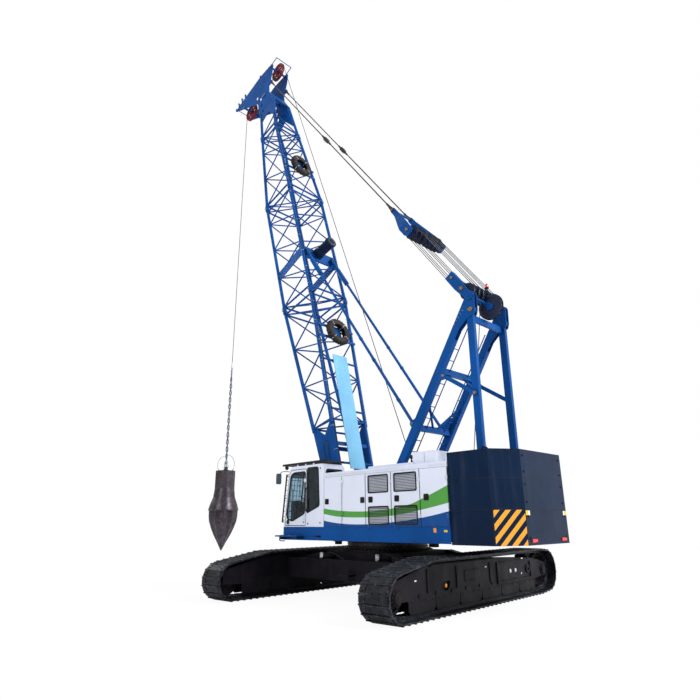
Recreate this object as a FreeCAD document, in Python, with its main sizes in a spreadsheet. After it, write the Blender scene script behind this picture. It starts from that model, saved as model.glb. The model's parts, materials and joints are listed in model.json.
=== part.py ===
import FreeCAD, Part
import math
import os
import re
import Sketcher
from types import SimpleNamespace
from FreeCAD import Placement, Rotation, Vector

# Crawler crane with a lattice boom and a drop hammer, for dynamic compaction.
# Frame: +X is where the boom points, +Y the driver's side, +Z up, origin on the slewing axis at the ground.
# The undercarriage stands turned by swingAngle under the upper works.
# Lengths are millimetres and angles degrees.
dimensions = {
    # fits
    "seat": 0.3,
    "panelGap": 6,
    "knuckleRound": 12,
    "stopSlack": 16,
    "pendantSlack": 30,
    # undercarriage
    "swingAngle": 94,
    "trackSpread": 6420,
    "shoeWidth": 810,
    "shoeCount": 82,
    "shoeSlot": 16,
    "grouserHigh": 20,
    "grouserWide": 28,
    "shoeThick": 50,
    "chainThick": 70,
    "chainWidth": 300,
    "idlerReach": 3570,
    "idlerHeight": 500,
    "idlerRound": 500,
    "sprocketReach": 3500,
    "sprocketHeight": 610,
    "sprocketRound": 570,
    "carrierFront": 2250,
    "carrierRear": 3050,
    "trackTop": 1215,
    "trackBend": 300,
    "groundBend": 200,
    "groundRear": 3000,
    "wheelWide": 110,
    "idlerHub": 120,
    "driveRound": 180,
    "driveLong": 470,
    "carrierRound": 90,
    "rollerRound": 120,
    "rollerWide": 280,
    "rollerCount": 9,
    "rollerPitch": 640,
    "rollerShift": 250,
    "rollerShaft": 35,
    "cheekThick": 25,
    "sideFrameWidth": 430,
    "sideFrameLow": 400,
    "sideFrameDeck": 860,
    "carbodyLong": 2500,
    "carbodyWide": 2500,
    "carbodyLow": 480,
    "carbodyHigh": 1250,
    "axleBeamSpan": 2600,
    "axleBeamWide": 560,
    "axleBeamDeep": 520,
    "boxPlate": 30,
    "gussetClear": 440,
    "towReach": 1720,
    "towHigh": 620,
    "towThick": 60,
    "towSpan": 320,
    "towBore": 32,
    "ringRound": 1150,
    "ringBore": 930,
    "ringFlange": 1290,
    "ringFlangeThick": 45,
    # upper works
    "halfWide": 1650,
    "frontEnd": 2800,
    "cabRear": 930,
    "houseRear": -3450,
    "deckLow": 1490,
    "deckHigh": 1860,
    "deckPlate": 12,
    "joistDrop": 120,
    "joistCount": 6,
    "bayHalf": 900,
    "cabInner": 830,
    "girderOut": 710,
    "girderThick": 25,
    "girderHigh": 1950,
    "floorThick": 30,
    "turntableRound": 1200,
    "turntableThick": 30,
    "tailEnd": -4200,
    "roofHigh": 3350,
    "roofSheet": 40,
    "doorTop": 3220,
    "wallSheet": 20,
    "doorThick": 35,
    "postWide": 50,
    "postDeep": 40,
    "seamOne": 170,
    "seamTwo": -750,
    "seamThree": -1670,
    "seamFour": -2610,
    "grilleSide": 115,
    "grilleLow": 1930,
    "grilleHigh": 2730,
    "grilleTall": 420,
    "hatchHigh": 70,
    "roofBoxFront": -2310,
    "roofBoxLong": 720,
    "roofBoxWide": 520,
    "roofBoxHigh": 310,
    "stepLong": 1050,
    "stepWide": 270,
    "stepLow": 1580,
    "stepThick": 40,
    # cab
    "cabWall": 45,
    "windscreenSill": 130,
    "windscreenTall": 1350,
    "rearWindowLow": 2700,
    "doorHingeLow": 2060,
    "doorHingeHigh": 3140,
    "doorHingeLong": 110,
    "cabRoofHigh": 3640,
    "cabRoofRear": 3550,
    "cabBrowX": 2530,
    "cabBrowHigh": 3580,
    "cabFaceX": 2610,
    "cabFaceHigh": 3440,
    "cabPost": 1735,
    "doorSill": 1885,
    "glassThick": 6,
    "glassInset": 18,
    "guardLow": 3690,
    "guardHigh": 3750,
    "guardFront": 2950,
    "guardRail": 40,
    "guardSlats": 11,
    # counterweight
    "weightBevelX": -4560,
    "weightRear": -4990,
    "weightRearHalf": 970,
    "weightHalf": 1620,
    "weightLow": 1470,
    "weightSeamLow": 2225,
    "weightSeamHigh": 2900,
    "weightTop": 3540,
    "weightNotchX": -4260,
    "weightNotchHalf": 940,
    # boom
    "boomAngle": 74,
    "footX": 1200,
    "footZ": 2150,
    "footPin": 55,
    "footEye": 125,
    "baseLength": 7970,
    "middleLength": 5290,
    "topLength": 4310,
    "footPlateLength": 2950,
    "footHalfDeep": 260,
    "footHalfWide": 730,
    "boomHalfDeep": 780,
    "boomHalfWide": 860,
    "headHalfDeep": 520,
    "headHalfWide": 660,
    "chordRound": 62,
    "laceRound": 26,
    "frameRound": 36,
    "lacePitch": 750,
    "collarRound": 84,
    "collarLong": 130,
    "lugThick": 80,
    "lugPlay": 5,
    "footLug": 45,
    "guardStart": 1370,
    "guardEnd": 5400,
    "guardHalf": 330,
    "guardThick": 20,
    "footCrossLow": 900,
    "footCrossHigh": 2200,
    "footCrossRound": 70,
    "tyreRound": 500,
    "tyreRim": 270,
    "tyreWide": 230,
    "tyreLow": 6300,
    "tyreHigh": 14870,
    "strapWide": 90,
    "strapThick": 20,
    "stopStation": 9840,
    "stopPlateWide": 360,
    "bufferStation": 10000,
    "bufferSeat": 80,
    "bufferPlate": 60,
    "bufferRound": 200,
    "bufferEnd": 1560,
    # boom head
    "headRun": 1930,
    "headPlateHalf": 450,
    "headPlateThick": 30,
    "rearSheaveRun": 4120,
    "rearSheaveD": -760,
    "frontSheaveRun": 3760,
    "frontSheaveD": 1640,
    "headShaft": 50,
    "sheaveRound": 450,
    "sheaveThick": 90,
    "keeperRound": 18,
    "pendantRun": 3190,
    "pendantD": -586,
    "pendantHalf": 450,
    "pendantPin": 36,
    # hammer and its rope
    "hammerTip": 930,
    "hammerLength": 3140,
    "hammerRim": 2470,
    "hammerRound": 605,
    "hammerNeck": 375,
    "hammerFlutes": 10,
    "hammerEye": 110,
    "ropeRound": 22,
    # gantry
    "apexX": -3930,
    "apexZ": 7670,
    "apexHalf": 860,
    "apexRound": 150,
    "apexShaft": 42,
    "legWide": 160,
    "legDeep": 220,
    "headPlate": 22,
    "frontFootX": -420,
    "frontFootZ": 2060,
    "backLegX": -3890,
    "backLegDeep": 190,
    "backPinX": -3950,
    "backPinZ": 7280,
    "footLift": 110,
    "legPin": 45,
    "lowCrossZ": 4430,
    "midCrossZ": 5860,
    "crossTall": 170,
    "ladderLow": 3560,
    "ladderHigh": 7000,
    "braceRound": 32,
    "topCrossTall": 180,
    "clevisThick": 25,
    "ladderOffset": 280,
    "ladderPitch": 340,
    "ladderRail": 15,
    "linkWide": 110,
    "linkThick": 20,
    "armThick": 30,
    "frameReach": 320,
    "packRound": 240,
    "packThick": 90,
    "packShaft": 55,
    "packFirst": 160,
    "packPitch": 210,
    "guideX": -4050,
    "guideZ": 7550,
    "guideRound": 370,
    "guideThick": 60,
    "bailReach": 3480,
    "bailHalf": 830,
    "bailRound": 230,
    "pendantReach": 5000,
    "fittingReach": 10800,
    # backstops
    "stopLowX": -1680,
    "stopLowZ": 4580,
    "stopHighX": 3150,
    "stopHighZ": 11830,
    "stopHalf": 645,
    "stopTube": 45,
    "stopSleeve": 70,
    "stopSleeveLength": 1500,
    "stopEye": 70,
    "stopPin": 28,
    # winches
    "winchX": -1150,
    "winchZ": 2480,
    "winchRound": 300,
    "winchCore": 230,
    "winchHalf": 450,
    "winchShaft": 60,
    "standThick": 40,
    "standWide": 360,
    "luffX": -3250,
    "luffZ": 2380,
}

doc = FreeCAD.newDocument("CompactionMachine")
sheet = doc.addObject("Spreadsheet::Sheet", "sizes")
for row, (word, value) in enumerate(dimensions.items(), start=1):
    sheet.set(f"A{row}", word)
    sheet.set(f"B{row}", str(value))
    sheet.setAlias(f"B{row}", word)
doc.recompute()
at = SimpleNamespace(**{word: float(sheet.get(word)) for word in dimensions})
nodes = []


def rule(text):
    def named(found):
        word = found.group(0)
        return "sizes." + word if word in dimensions else word

    return re.sub(r"[A-Za-z]+", named, text)


def bind(thing, path, text):
    thing.setExpression(path, rule(text))


def place(thing, corner):
    for axis, text in zip("xyz", corner):
        bind(thing, "Placement.Base." + axis, text)


def node(thing, label):
    thing.Label = label
    nodes.append(thing)
    return thing


def swing(thing):
    thing.Placement = Placement(Vector(), Rotation(Vector(0, 0, 1), at.swingAngle))
    bind(thing, "Placement.Rotation.Angle", "swingAngle")
    return thing


def box(name, corner, spans):
    thing = doc.addObject("Part::Box", name)
    for side, text in zip(("Length", "Width", "Height"), spans):
        bind(thing, side, text)
    place(thing, corner)
    return thing


def rod(name, start, radius, length, along=(0, 0, 1)):
    thing = doc.addObject("Part::Cylinder", name)
    bind(thing, "Radius", radius)
    bind(thing, "Height", length)
    thing.Placement = Placement(Vector(), Rotation(Vector(0, 0, 1), Vector(*along)))
    place(thing, start)
    return thing


def fuse(name, pieces):
    thing = doc.addObject("Part::MultiFuse", name)
    thing.Shapes = pieces
    thing.Refine = True
    return thing


def cut(name, base, tool):
    thing = doc.addObject("Part::Cut", name)
    thing.Base = base
    thing.Tool = tool
    return thing


def together(name, pieces):
    thing = doc.addObject("Part::Compound", name)
    thing.Links = pieces
    return thing


def fixedShape(name, shape):
    thing = doc.addObject("Part::Feature", name)
    thing.Shape = shape
    return thing


# A closed outline of straight edges on one of the body's own planes, every corner bound to the sheet.
def outlineSketch(body, name, plane, corners, offset="0"):
    sketch = body.newObject("Sketcher::SketchObject", name)
    base = [p for p in body.Origin.OriginFeatures if p.Role == plane][0]
    sketch.AttachmentSupport = [(base, "")]
    sketch.MapMode = "FlatFace"
    bind(sketch, "AttachmentOffset.Base.z", offset)
    spots = [Vector(10 * i, 10 * i * i, 0) for i in range(len(corners))]
    for i, spot in enumerate(spots):
        sketch.addGeometry(Part.LineSegment(spot, spots[(i + 1) % len(spots)]), False)
    for i in range(len(corners)):
        follows = (i + 1) % len(corners)
        sketch.addConstraint(Sketcher.Constraint("Coincident", i, 2, follows, 1))
    for i, (across, up) in enumerate(corners):
        for kind, text in (("DistanceX", across), ("DistanceY", up)):
            index = sketch.addConstraint(Sketcher.Constraint(kind, -1, 1, i, 1, 1.0 + i))
            bind(sketch, f"Constraints[{index}]", text)
    return sketch


# Plates and slabs: an outline in plan (XY_Plane), in side view (XZ_Plane) or in front view (YZ_Plane).
def prism(name, plane, corners, start, depth):
    body = doc.addObject("PartDesign::Body", name)
    turned = plane == "XZ_Plane"
    offset = f"-({start})" if turned else start
    sketch = outlineSketch(body, name + "Outline", plane, corners, offset)
    pad = body.newObject("PartDesign::Pad", name + "Pad")
    pad.Profile = sketch
    bind(pad, "Length", depth)
    pad.Reversed = turned
    sketch.Visibility = False
    return body


def tube(start, end, radius):
    return Part.makeCylinder(radius, (end - start).Length, start, end - start)


# A rectangular beam between two points of a side view; wide runs along Y.
def beam(start, end, wide, deep):
    run = end - start
    turn = math.degrees(math.atan2(run.z, run.x))
    shape = Part.makeBox(run.Length, wide, deep, Vector(0, -wide / 2, -deep / 2))
    shape.rotate(Vector(), Vector(0, 1, 0), -turn)
    shape.translate(start)
    return shape


def plateShape(corners, y, thick):
    points = [Vector(x, y, z) for x, z in corners]
    return Part.Face(Part.makePolygon(points + points[:1])).extrude(Vector(0, thick, 0))


def merged(shapes):
    return shapes[0].multiFuse(shapes[1:]).removeSplitter()


# ---- undercarriage ----

trackCentre = (at.trackSpread - at.shoeWidth) / 2
sides = (("left", 1), ("right", -1))
alongY = Vector(0, 1, 0)


def disc(x, z, y, long, radius):
    return Part.makeCylinder(radius, long, Vector(x, y - long / 2, z), alongY)


# A ring-shaped solid about the Y axis through (x, z), from its half section of (radius, y) corners.
def turned(x, z, y, corners):
    points = [Vector(r, across, 0) for r, across in corners]
    shape = Part.Face(Part.makePolygon(points + points[:1])).revolve(Vector(), alongY, 360)
    shape.translate(Vector(x, y, z))
    return shape


# The track's outer line: a taut belt round discs given in order, as straight runs and arcs.
def beltRuns(discs):
    runs = []
    for (ax, az, ar), (bx, bz, br) in zip(discs, discs[1:] + discs[:1]):
        gap = math.hypot(bx - ax, bz - az)
        heading = math.atan2(bz - az, bx - ax)
        out = heading - math.acos((ar - br) / gap)
        start = Vector(ax + ar * math.cos(out), 0, az + ar * math.sin(out))
        end = Vector(bx + br * math.cos(out), 0, bz + br * math.sin(out))
        runs.append((start, end, out))
    pieces = []
    for i, (start, end, out) in enumerate(runs):
        cx, cz, r = discs[(i + 1) % len(discs)]
        after = runs[(i + 1) % len(runs)][2]
        pieces.append(("line", (end - start).Length, start, end, out))
        pieces.append(("arc", r * ((after - out) % (2 * math.pi)), Vector(cx, 0, cz), r, out))
    return pieces


def beltPoint(pieces, reach, inset):
    reach %= sum(piece[1] for piece in pieces)
    for kind, length, a, b, out in pieces:
        if reach <= length:
            break
        reach -= length
    if kind == "line":
        spot = a + (b - a) * (reach / length)
        return spot - Vector(math.cos(out), 0, math.sin(out)) * inset
    turn = out + reach / b
    return a + Vector(math.cos(turn), 0, math.sin(turn)) * (b - inset)


trackDiscs = [(-at.groundRear, at.groundBend, at.groundBend),
              (at.idlerReach, at.idlerHeight, at.idlerRound),
              (at.carrierFront, at.trackTop - at.trackBend, at.trackBend),
              (-at.carrierRear, at.trackTop - at.trackBend, at.trackBend),
              (-at.sprocketReach, at.sprocketHeight, at.sprocketRound)]


# One closed loop: each shoe is a plate with a grouser bar, and a narrower chain runs inside the plates.
def trackLoop(y):
    pieces = beltRuns(trackDiscs)
    pitch = sum(piece[1] for piece in pieces) / at.shoeCount
    outer = []
    for i in range(int(at.shoeCount)):
        start = i * pitch
        bar = at.grouserWide
        for share, depth in ((0, at.shoeThick - 12), (at.shoeSlot, at.shoeThick - 12),
                             (at.shoeSlot, at.grouserHigh), (pitch - bar - 8, at.grouserHigh),
                             (pitch - bar, 0), (pitch, 0)):
            outer.append(beltPoint(pieces, start + share, depth))
    inner = [beltPoint(pieces, i * pitch, at.shoeThick) for i in range(int(at.shoeCount))]
    core = [beltPoint(pieces, i * pitch, at.shoeThick + at.chainThick) for i in range(int(at.shoeCount))]

    def loop(points):
        return Part.Wire(Part.makePolygon(points + points[:1]))

    plates = Part.Face([loop(outer), loop(inner)])
    chain = Part.Face([loop(inner), loop(core)])
    solids = []
    for face, width in ((plates, at.shoeWidth), (chain, at.chainWidth)):
        if not face.isValid():
            face.validate()
        solid = face.extrude(alongY * width)
        solid.translate(alongY * (y - width / 2))
        solids.append(solid)
    return solids[0].fuse(solids[1])


def buildTracks():
    for side, sign in sides:
        node(swing(fixedShape("Track" + side, trackLoop(sign * trackCentre))), "track_" + side)


beltDepth = at.shoeThick + at.chainThick + at.seat
cheekInside = at.sideFrameWidth / 2 - at.cheekThick - at.seat


def buildWheels():
    sprockets = []
    idlers = []
    for side, sign in sides:
        y = sign * trackCentre
        # facets of the loop come a little inside its line, so the wheels are that much smaller
        facet = 12
        driveAt = (sprockets, -at.sprocketReach, at.sprocketHeight, at.sprocketRound, at.driveRound)
        for pieces, x, z, r, hub in (driveAt,
                                     (idlers, at.idlerReach, at.idlerHeight, at.idlerRound, at.idlerHub)):
            rim = r - beltDepth - facet
            wheel = disc(x, z, y, at.wheelWide, rim).cut(disc(x, z, y, at.wheelWide, rim * 0.78))
            web = disc(x, z, y, at.wheelWide / 3, rim * 0.8)
            pieces.append(merged([wheel, web, disc(x, z, y, 2 * cheekInside, hub)]))
    node(swing(fixedShape("Sprockets", Part.makeCompound(sprockets))), "drive_sprockets")
    node(swing(fixedShape("Idlers", Part.makeCompound(idlers))), "idler_wheels")


def buildRollers():
    pieces = []
    count = int(at.rollerCount)
    bracket = at.rollerWide / 2 + 5
    for side, sign in sides:
        y = sign * trackCentre
        z = beltDepth + at.rollerRound
        for i in range(count):
            x = (i - (count - 1) / 2) * at.rollerPitch + at.rollerShift
            roller = [disc(x, z, y, at.rollerWide, at.rollerRound),
                      disc(x, z, y, 2 * bracket + 2 * at.cheekThick, at.rollerShaft)]
            for low in (y - bracket - at.cheekThick, y + bracket):
                roller.append(Part.makeBox(2 * at.rollerShaft + 40, at.cheekThick,
                                           at.sideFrameLow - at.seat - z,
                                           Vector(x - at.rollerShaft - 20, low, z)))
            pieces.append(merged(roller))
        top = at.trackTop - beltDepth - at.carrierRound - 2
        for x in (at.carrierFront - 150, (at.carrierFront - at.carrierRear) / 2, 150 - at.carrierRear + 250):
            pieces.append(merged([disc(x, top, y, at.rollerWide, at.carrierRound),
                                  disc(x, top, y, 2 * cheekInside, at.rollerShaft)]))
    node(swing(fixedShape("Rollers", Part.makeCompound(pieces))), "track_rollers")


# A crawler side frame: a box beam between two cheek plates that carry the idler, sprocket and roller shafts.
def buildSideFrames():
    low = at.sideFrameLow
    beamRear = -at.sprocketReach + at.sprocketRound + 20
    beamFront = at.idlerReach - at.idlerRound - 20
    outline = [(-at.sprocketReach - 230, low + 90), (beamRear, low), (beamFront, low),
               (at.idlerReach + 240, low + 20), (at.idlerReach + 240, low + 380), (2400, 1080), (-660, 1070),
               (-2770, 970), (-at.sprocketReach - 230, low + 400)]
    for side, sign in sides:
        y = sign * trackCentre
        half = at.sideFrameWidth / 2
        pieces = [Part.makeBox(beamFront - beamRear, 2 * half, at.sideFrameDeck - low,
                               Vector(beamRear, y - half, low))]
        for cheek in (y - half, y + half - at.cheekThick):
            pieces.append(plateShape(outline, cheek, at.cheekThick))
        # a raised frame with a lifting eye stands on the outer cheek
        face = y + sign * (half + 15)
        for x, z, long, high in ((-2700, 430, 2000, 50), (-2700, 900, 2000, 50), (-2700, 430, 50, 520),
                                 (-750, 430, 50, 520)):
            pieces.append(Part.makeBox(long, 32, high, Vector(x, face - 16, z)))
        eye = disc(-2500, 690, face, 34, 110).cut(disc(-2500, 690, face, 60, 45))
        pieces.append(eye)
        shape = merged(pieces)
        recess = disc(1730, 680, y + sign * half, 120, 190)
        recess = recess.cut(Part.makeBox(600, 400, 300, Vector(1430, y + sign * half - 200, 690)))
        inward = y - sign * half
        bore = disc(-at.sprocketReach, at.sprocketHeight, inward, 3 * at.cheekThick, at.driveRound + at.seat)
        shape = shape.cut(Part.makeCompound([recess, bore]))
        node(swing(fixedShape("SideFrame" + side, shape)), "track_frame_" + side)


def buildDrives():
    pieces = []
    for side, sign in sides:
        start = Vector(-at.sprocketReach, sign * (trackCentre - cheekInside - at.seat), at.sprocketHeight)
        inward = Vector(0, -sign, 0)
        motor = Part.makeCylinder(at.driveRound, at.driveLong, start, inward)
        cap = Part.makeCylinder(at.driveRound * 0.6, 120, start + inward * at.driveLong, inward)
        flange = Part.makeCylinder(at.driveRound * 1.25, 40, start + inward * (at.driveLong / 3), inward)
        pieces.append(merged([motor, cap, flange]))
    node(swing(fixedShape("Drives", Part.makeCompound(pieces))), "travel_drives")


# The car body is a welded box: one block, its cross beams to the side frames, and the hollow inside them.
def buildCarbody():
    reach = "(trackSpread - shoeWidth - sideFrameWidth)"
    blocks = [box("CarbodyBlock", ("-carbodyLong/2", "-carbodyWide/2", "carbodyLow"),
                  ("carbodyLong", "carbodyWide", "carbodyHigh - carbodyLow - ringFlangeThick"))]
    hollows = [box("CarbodyHollow", ("-carbodyLong/2 + boxPlate", "-carbodyWide/2 + boxPlate",
                                     "carbodyLow + boxPlate"),
                   ("carbodyLong - 2*boxPlate", "carbodyWide - 2*boxPlate",
                    "carbodyHigh - carbodyLow - ringFlangeThick - 2*boxPlate"))]
    for sign in "-+":
        middle = f"{sign}axleBeamSpan/2"
        blocks.append(box("AxleBeam", (f"{middle} - axleBeamWide/2", f"-{reach}/2", "carbodyLow"),
                          ("axleBeamWide", reach, "axleBeamDeep")))
        hollows.append(box("AxleHollow", (f"{middle} - axleBeamWide/2 + boxPlate", f"-{reach}/2 - 1",
                                          "carbodyLow + boxPlate"),
                           ("axleBeamWide - 2*boxPlate", f"{reach} + 2", "axleBeamDeep - 2*boxPlate")))
        blocks.append(box("TowPlate", (f"{sign}towReach - towSpan/2", "-towSpan/2", "towHigh"),
                          ("towSpan", "towSpan", "towThick")))
        hollows.append(rod("TowBore", (f"{sign}towReach", "0", "towHigh - 10"), "towBore", "towThick + 20"))
        # gussets slope from the ring flange down to each cross beam
        for end in (1, -1):
            slope = f"({reach}/2 - carbodyWide/2 - gussetClear)"
            start = f"{end}*carbodyWide/2" if end > 0 else f"-carbodyWide/2 - {slope}"
            corners = [("0", "carbodyLow + axleBeamDeep"), ("0", "carbodyHigh - ringFlangeThick"),
                       (slope, "carbodyLow + axleBeamDeep")]
            if end < 0:
                corners = [(slope, "carbodyLow + axleBeamDeep"), (slope, "carbodyHigh - ringFlangeThick"),
                           ("0", "carbodyLow + axleBeamDeep")]
            shifted = [(f"{start} + {a}", z) for a, z in corners]
            blocks.append(prism(f"Gusset{sign == '+'}{end + 1}", "YZ_Plane", shifted,
                                f"{sign}axleBeamSpan/2 - 130", "260"))
    blocks.append(rod("RingFlange", ("0", "0", "carbodyHigh - ringFlangeThick"), "ringFlange",
                      "ringFlangeThick"))
    node(swing(cut("Carbody", fuse("CarbodySolid", blocks), fuse("CarbodyVoid", hollows))), "carbody")
    ring = cut("SlewRing", rod("RingOuter", ("0", "0", "carbodyHigh"), "ringRound",
                               "deckLow - carbodyHigh - seat"),
               rod("RingBore", ("0", "0", "carbodyHigh - 10"), "ringBore", "deckLow"))
    node(swing(ring), "slewing_ring")


# ---- upper works ----

# Two plates either side of a leg's foot with the pin through them, standing on the frame at height low.
def footClevis(name, x, z, y, wide, low):
    pieces = []
    starts = {"Inner": f"({y}) - ({wide})/2 - seat - clevisThick", "Outer": f"({y}) + ({wide})/2 + seat"}
    for tag, start in starts.items():
        corners = [(f"{x} - 200", low), (f"{x} + 200", low),
                   (f"{x} + 90", f"{z} + 90"), (f"{x} - 90", f"{z} + 90")]
        pieces.append(prism(name + tag, "XZ_Plane", corners, start, "clevisThick"))
    pieces.append(rod(name + "Pin", (x, f"({y}) - ({wide})/2 - seat - clevisThick", z), "legPin",
                      f"({wide}) + 2*seat + 2*clevisThick", (0, 1, 0)))
    return pieces


def buildMainFrame():
    tail = "frontEnd - 400 - tailEnd"
    girderTall = "girderHigh - deckLow"
    pieces = [box("FrameFloor", ("tailEnd", "-girderOut", "deckLow"), (tail, "2*girderOut", "floorThick")),
              rod("Turntable", ("0", "0", "deckLow"), "turntableRound", "turntableThick")]
    for name, y in (("GirderLeft", "girderOut - girderThick"), ("GirderRight", "-girderOut")):
        pieces.append(box(name, ("tailEnd", y, "deckLow"), (tail, "girderThick", girderTall)))
    for name, x in (("CrossFront", "frontEnd - 430"), ("CrossFoot", "footX + 300"), ("CrossMid", "footX - 330"),
                    ("CrossWinch", "winchX - 600"), ("CrossRear", "tailEnd")):
        pieces.append(box(name, (x, "-girderOut", "deckLow"), ("floorThick", "2*girderOut", f"{girderTall} - 120")))
    for sign in (1, -1):
        inside = "footHalfWide - lugThick/2 - lugPlay - footLug"
        outside = "footHalfWide + lugThick/2 + lugPlay"
        for name, start in (("Inner", inside), ("Outer", outside)):
            y = start if sign > 0 else f"-({start}) - footLug"
            corners = [("footX - 330", "deckLow"), ("footX + 330", "deckLow"), ("footX + 330", "girderHigh"),
                       ("footX + 120", "footZ + 120"), ("footX - 120", "footZ + 120"),
                       ("footX - 330", "girderHigh")]
            pieces.append(prism(f"FootLug{name}{sign + 1}", "XZ_Plane", corners, y, "footLug"))
        start = inside if sign > 0 else f"-({outside}) - footLug"
        long = "lugThick + 2*lugPlay + 2*footLug"
        pieces.append(rod("FootPin", ("footX", start, "footZ"), "footPin", long, (0, 1, 0)))
        pieces.append(box("LugBridge", ("footX - 330", start, "deckLow"), ("660", long, "300")))
        mid = f"{sign}*(apexHalf - legWide/2)"
        low = "deckHigh - deckPlate - 20"
        pieces += footClevis(f"FrontFoot{sign + 1}", "frontFootX", "frontFootZ", mid, "legWide", low)
        inside = "legWide - 2*headPlate - 2*seat"
        pieces += footClevis(f"BackFoot{sign + 1}", "backLegX", "frontFootZ", mid, inside, low)
        for x in ("frontFootX", "backLegX"):
            inner = f"{sign}*girderOut" if sign > 0 else "-apexHalf - clevisThick - seat"
            pieces.append(box("FootBlock", (f"{x} - 200", inner, "deckLow"),
                              ("400", "apexHalf + clevisThick + seat - girderOut", f"{low} - deckLow")))
    node(fuse("MainFrame", pieces), "main_frame")


def buildDecks():
    long = "frontEnd - houseRear"
    for side, sign in sides:
        outer = "halfWide - deckPlate" if sign > 0 else "-halfWide"
        house = "bayHalf" if sign > 0 else "-halfWide"
        pieces = [box("DeckTop" + side, ("houseRear", house, "deckHigh - deckPlate"),
                      (long, "halfWide - bayHalf", "deckPlate")),
                  box("DeckSill" + side, ("houseRear", outer, "deckLow"),
                      (long, "deckPlate", "deckHigh - deckLow")),
                  box("DeckLip" + side, ("houseRear", "halfWide - 90" if sign > 0 else "-halfWide", "deckLow"),
                      (long, "90", "deckPlate"))]
        if sign > 0:
            pieces.append(box("CabFloor", ("cabRear", "cabInner", "deckHigh - deckPlate"),
                              ("frontEnd - cabRear", "halfWide - cabInner", "deckPlate")))
        joist = "girderOut" if sign > 0 else "-halfWide"
        for i in range(int(at.joistCount)):
            x = f"houseRear + {i}*({long} - 20)/(joistCount - 1)"
            pieces.append(box("Joist" + side, (x, joist, "deckLow + joistDrop"),
                              ("20", "halfWide - girderOut", "deckHigh - deckLow - joistDrop")))
        front = "cabInner" if sign > 0 else "-halfWide"
        wide = "halfWide - cabInner" if sign > 0 else "halfWide - bayHalf"
        pieces.append(box("DeckFront" + side, ("frontEnd - deckPlate", front, "deckLow"),
                          ("deckPlate", wide, "deckHigh - deckLow")))
        if sign > 0:
            step = ("frontEnd - stepLong + 60", "halfWide", "stepLow")
            pieces.append(box("StepPlate", step, ("stepLong", "stepWide", "stepThick")))
            for x in ("frontEnd - stepLong + 160", "frontEnd - 120"):
                pieces.append(box("StepArm", (x, "halfWide", "deckLow + 10"),
                                  ("30", "stepWide - 60", "stepLow - deckLow - 10")))
        node(fuse("Deck" + side, pieces), "deck_" + side)


seams = ["cabRear", "seamOne", "seamTwo", "seamThree", "seamFour", "houseRear"]


def houseWall(name, x, y, spans):
    return box(name, (x, y, "deckHigh"), spans + ("roofHigh - roofSheet - deckHigh",))


# Door posts stand just behind the leaves; the roof carries a fascia over the doors.
def buildHouses():
    for side, sign in sides:
        inner = "bayHalf" if sign > 0 else "-bayHalf - wallSheet"
        low = "bayHalf" if sign > 0 else "-halfWide"
        long = "cabRear - houseRear"
        wide = "halfWide - bayHalf"
        pieces = [box("Roof" + side, ("houseRear", low, "roofHigh - roofSheet"), (long, wide, "roofSheet")),
                  box("Fascia" + side, ("houseRear", "halfWide - doorThick" if sign > 0 else "-halfWide",
                                        "doorTop + panelGap"), (long, "doorThick", "roofHigh - doorTop - panelGap")),
                  houseWall("Inside" + side, "houseRear", inner, (long, "wallSheet"))]
        endLow = "bayHalf" if sign > 0 else "-halfWide + doorThick + seat"
        for x in ("houseRear", "cabRear - wallSheet"):
            pieces.append(houseWall("End" + side, x, endLow, ("wallSheet", f"{wide} - doorThick - seat")))
        post = "halfWide - doorThick - seat - postDeep" if sign > 0 else "-halfWide + doorThick + seat"
        for x in seams[1:-1]:
            pieces.append(houseWall("Post" + side, f"{x} - postWide/2", post, ("postWide", "postDeep")))
        hatchLow = "bayHalf + 80" if sign > 0 else "-halfWide + 130"
        pieces.append(box("Hatch" + side, ("seamThree - 680", hatchLow, "roofHigh"),
                          ("seamTwo - seamThree + 680", f"{wide} - 210", "hatchHigh")))
        if sign > 0:
            pieces.append(box("RoofBox", ("roofBoxFront - roofBoxLong", "halfWide - 150 - roofBoxWide", "roofHigh"),
                              ("roofBoxLong", "roofBoxWide", "roofBoxHigh")))
        node(fuse("House" + side, pieces), "house_" + side)


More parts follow.
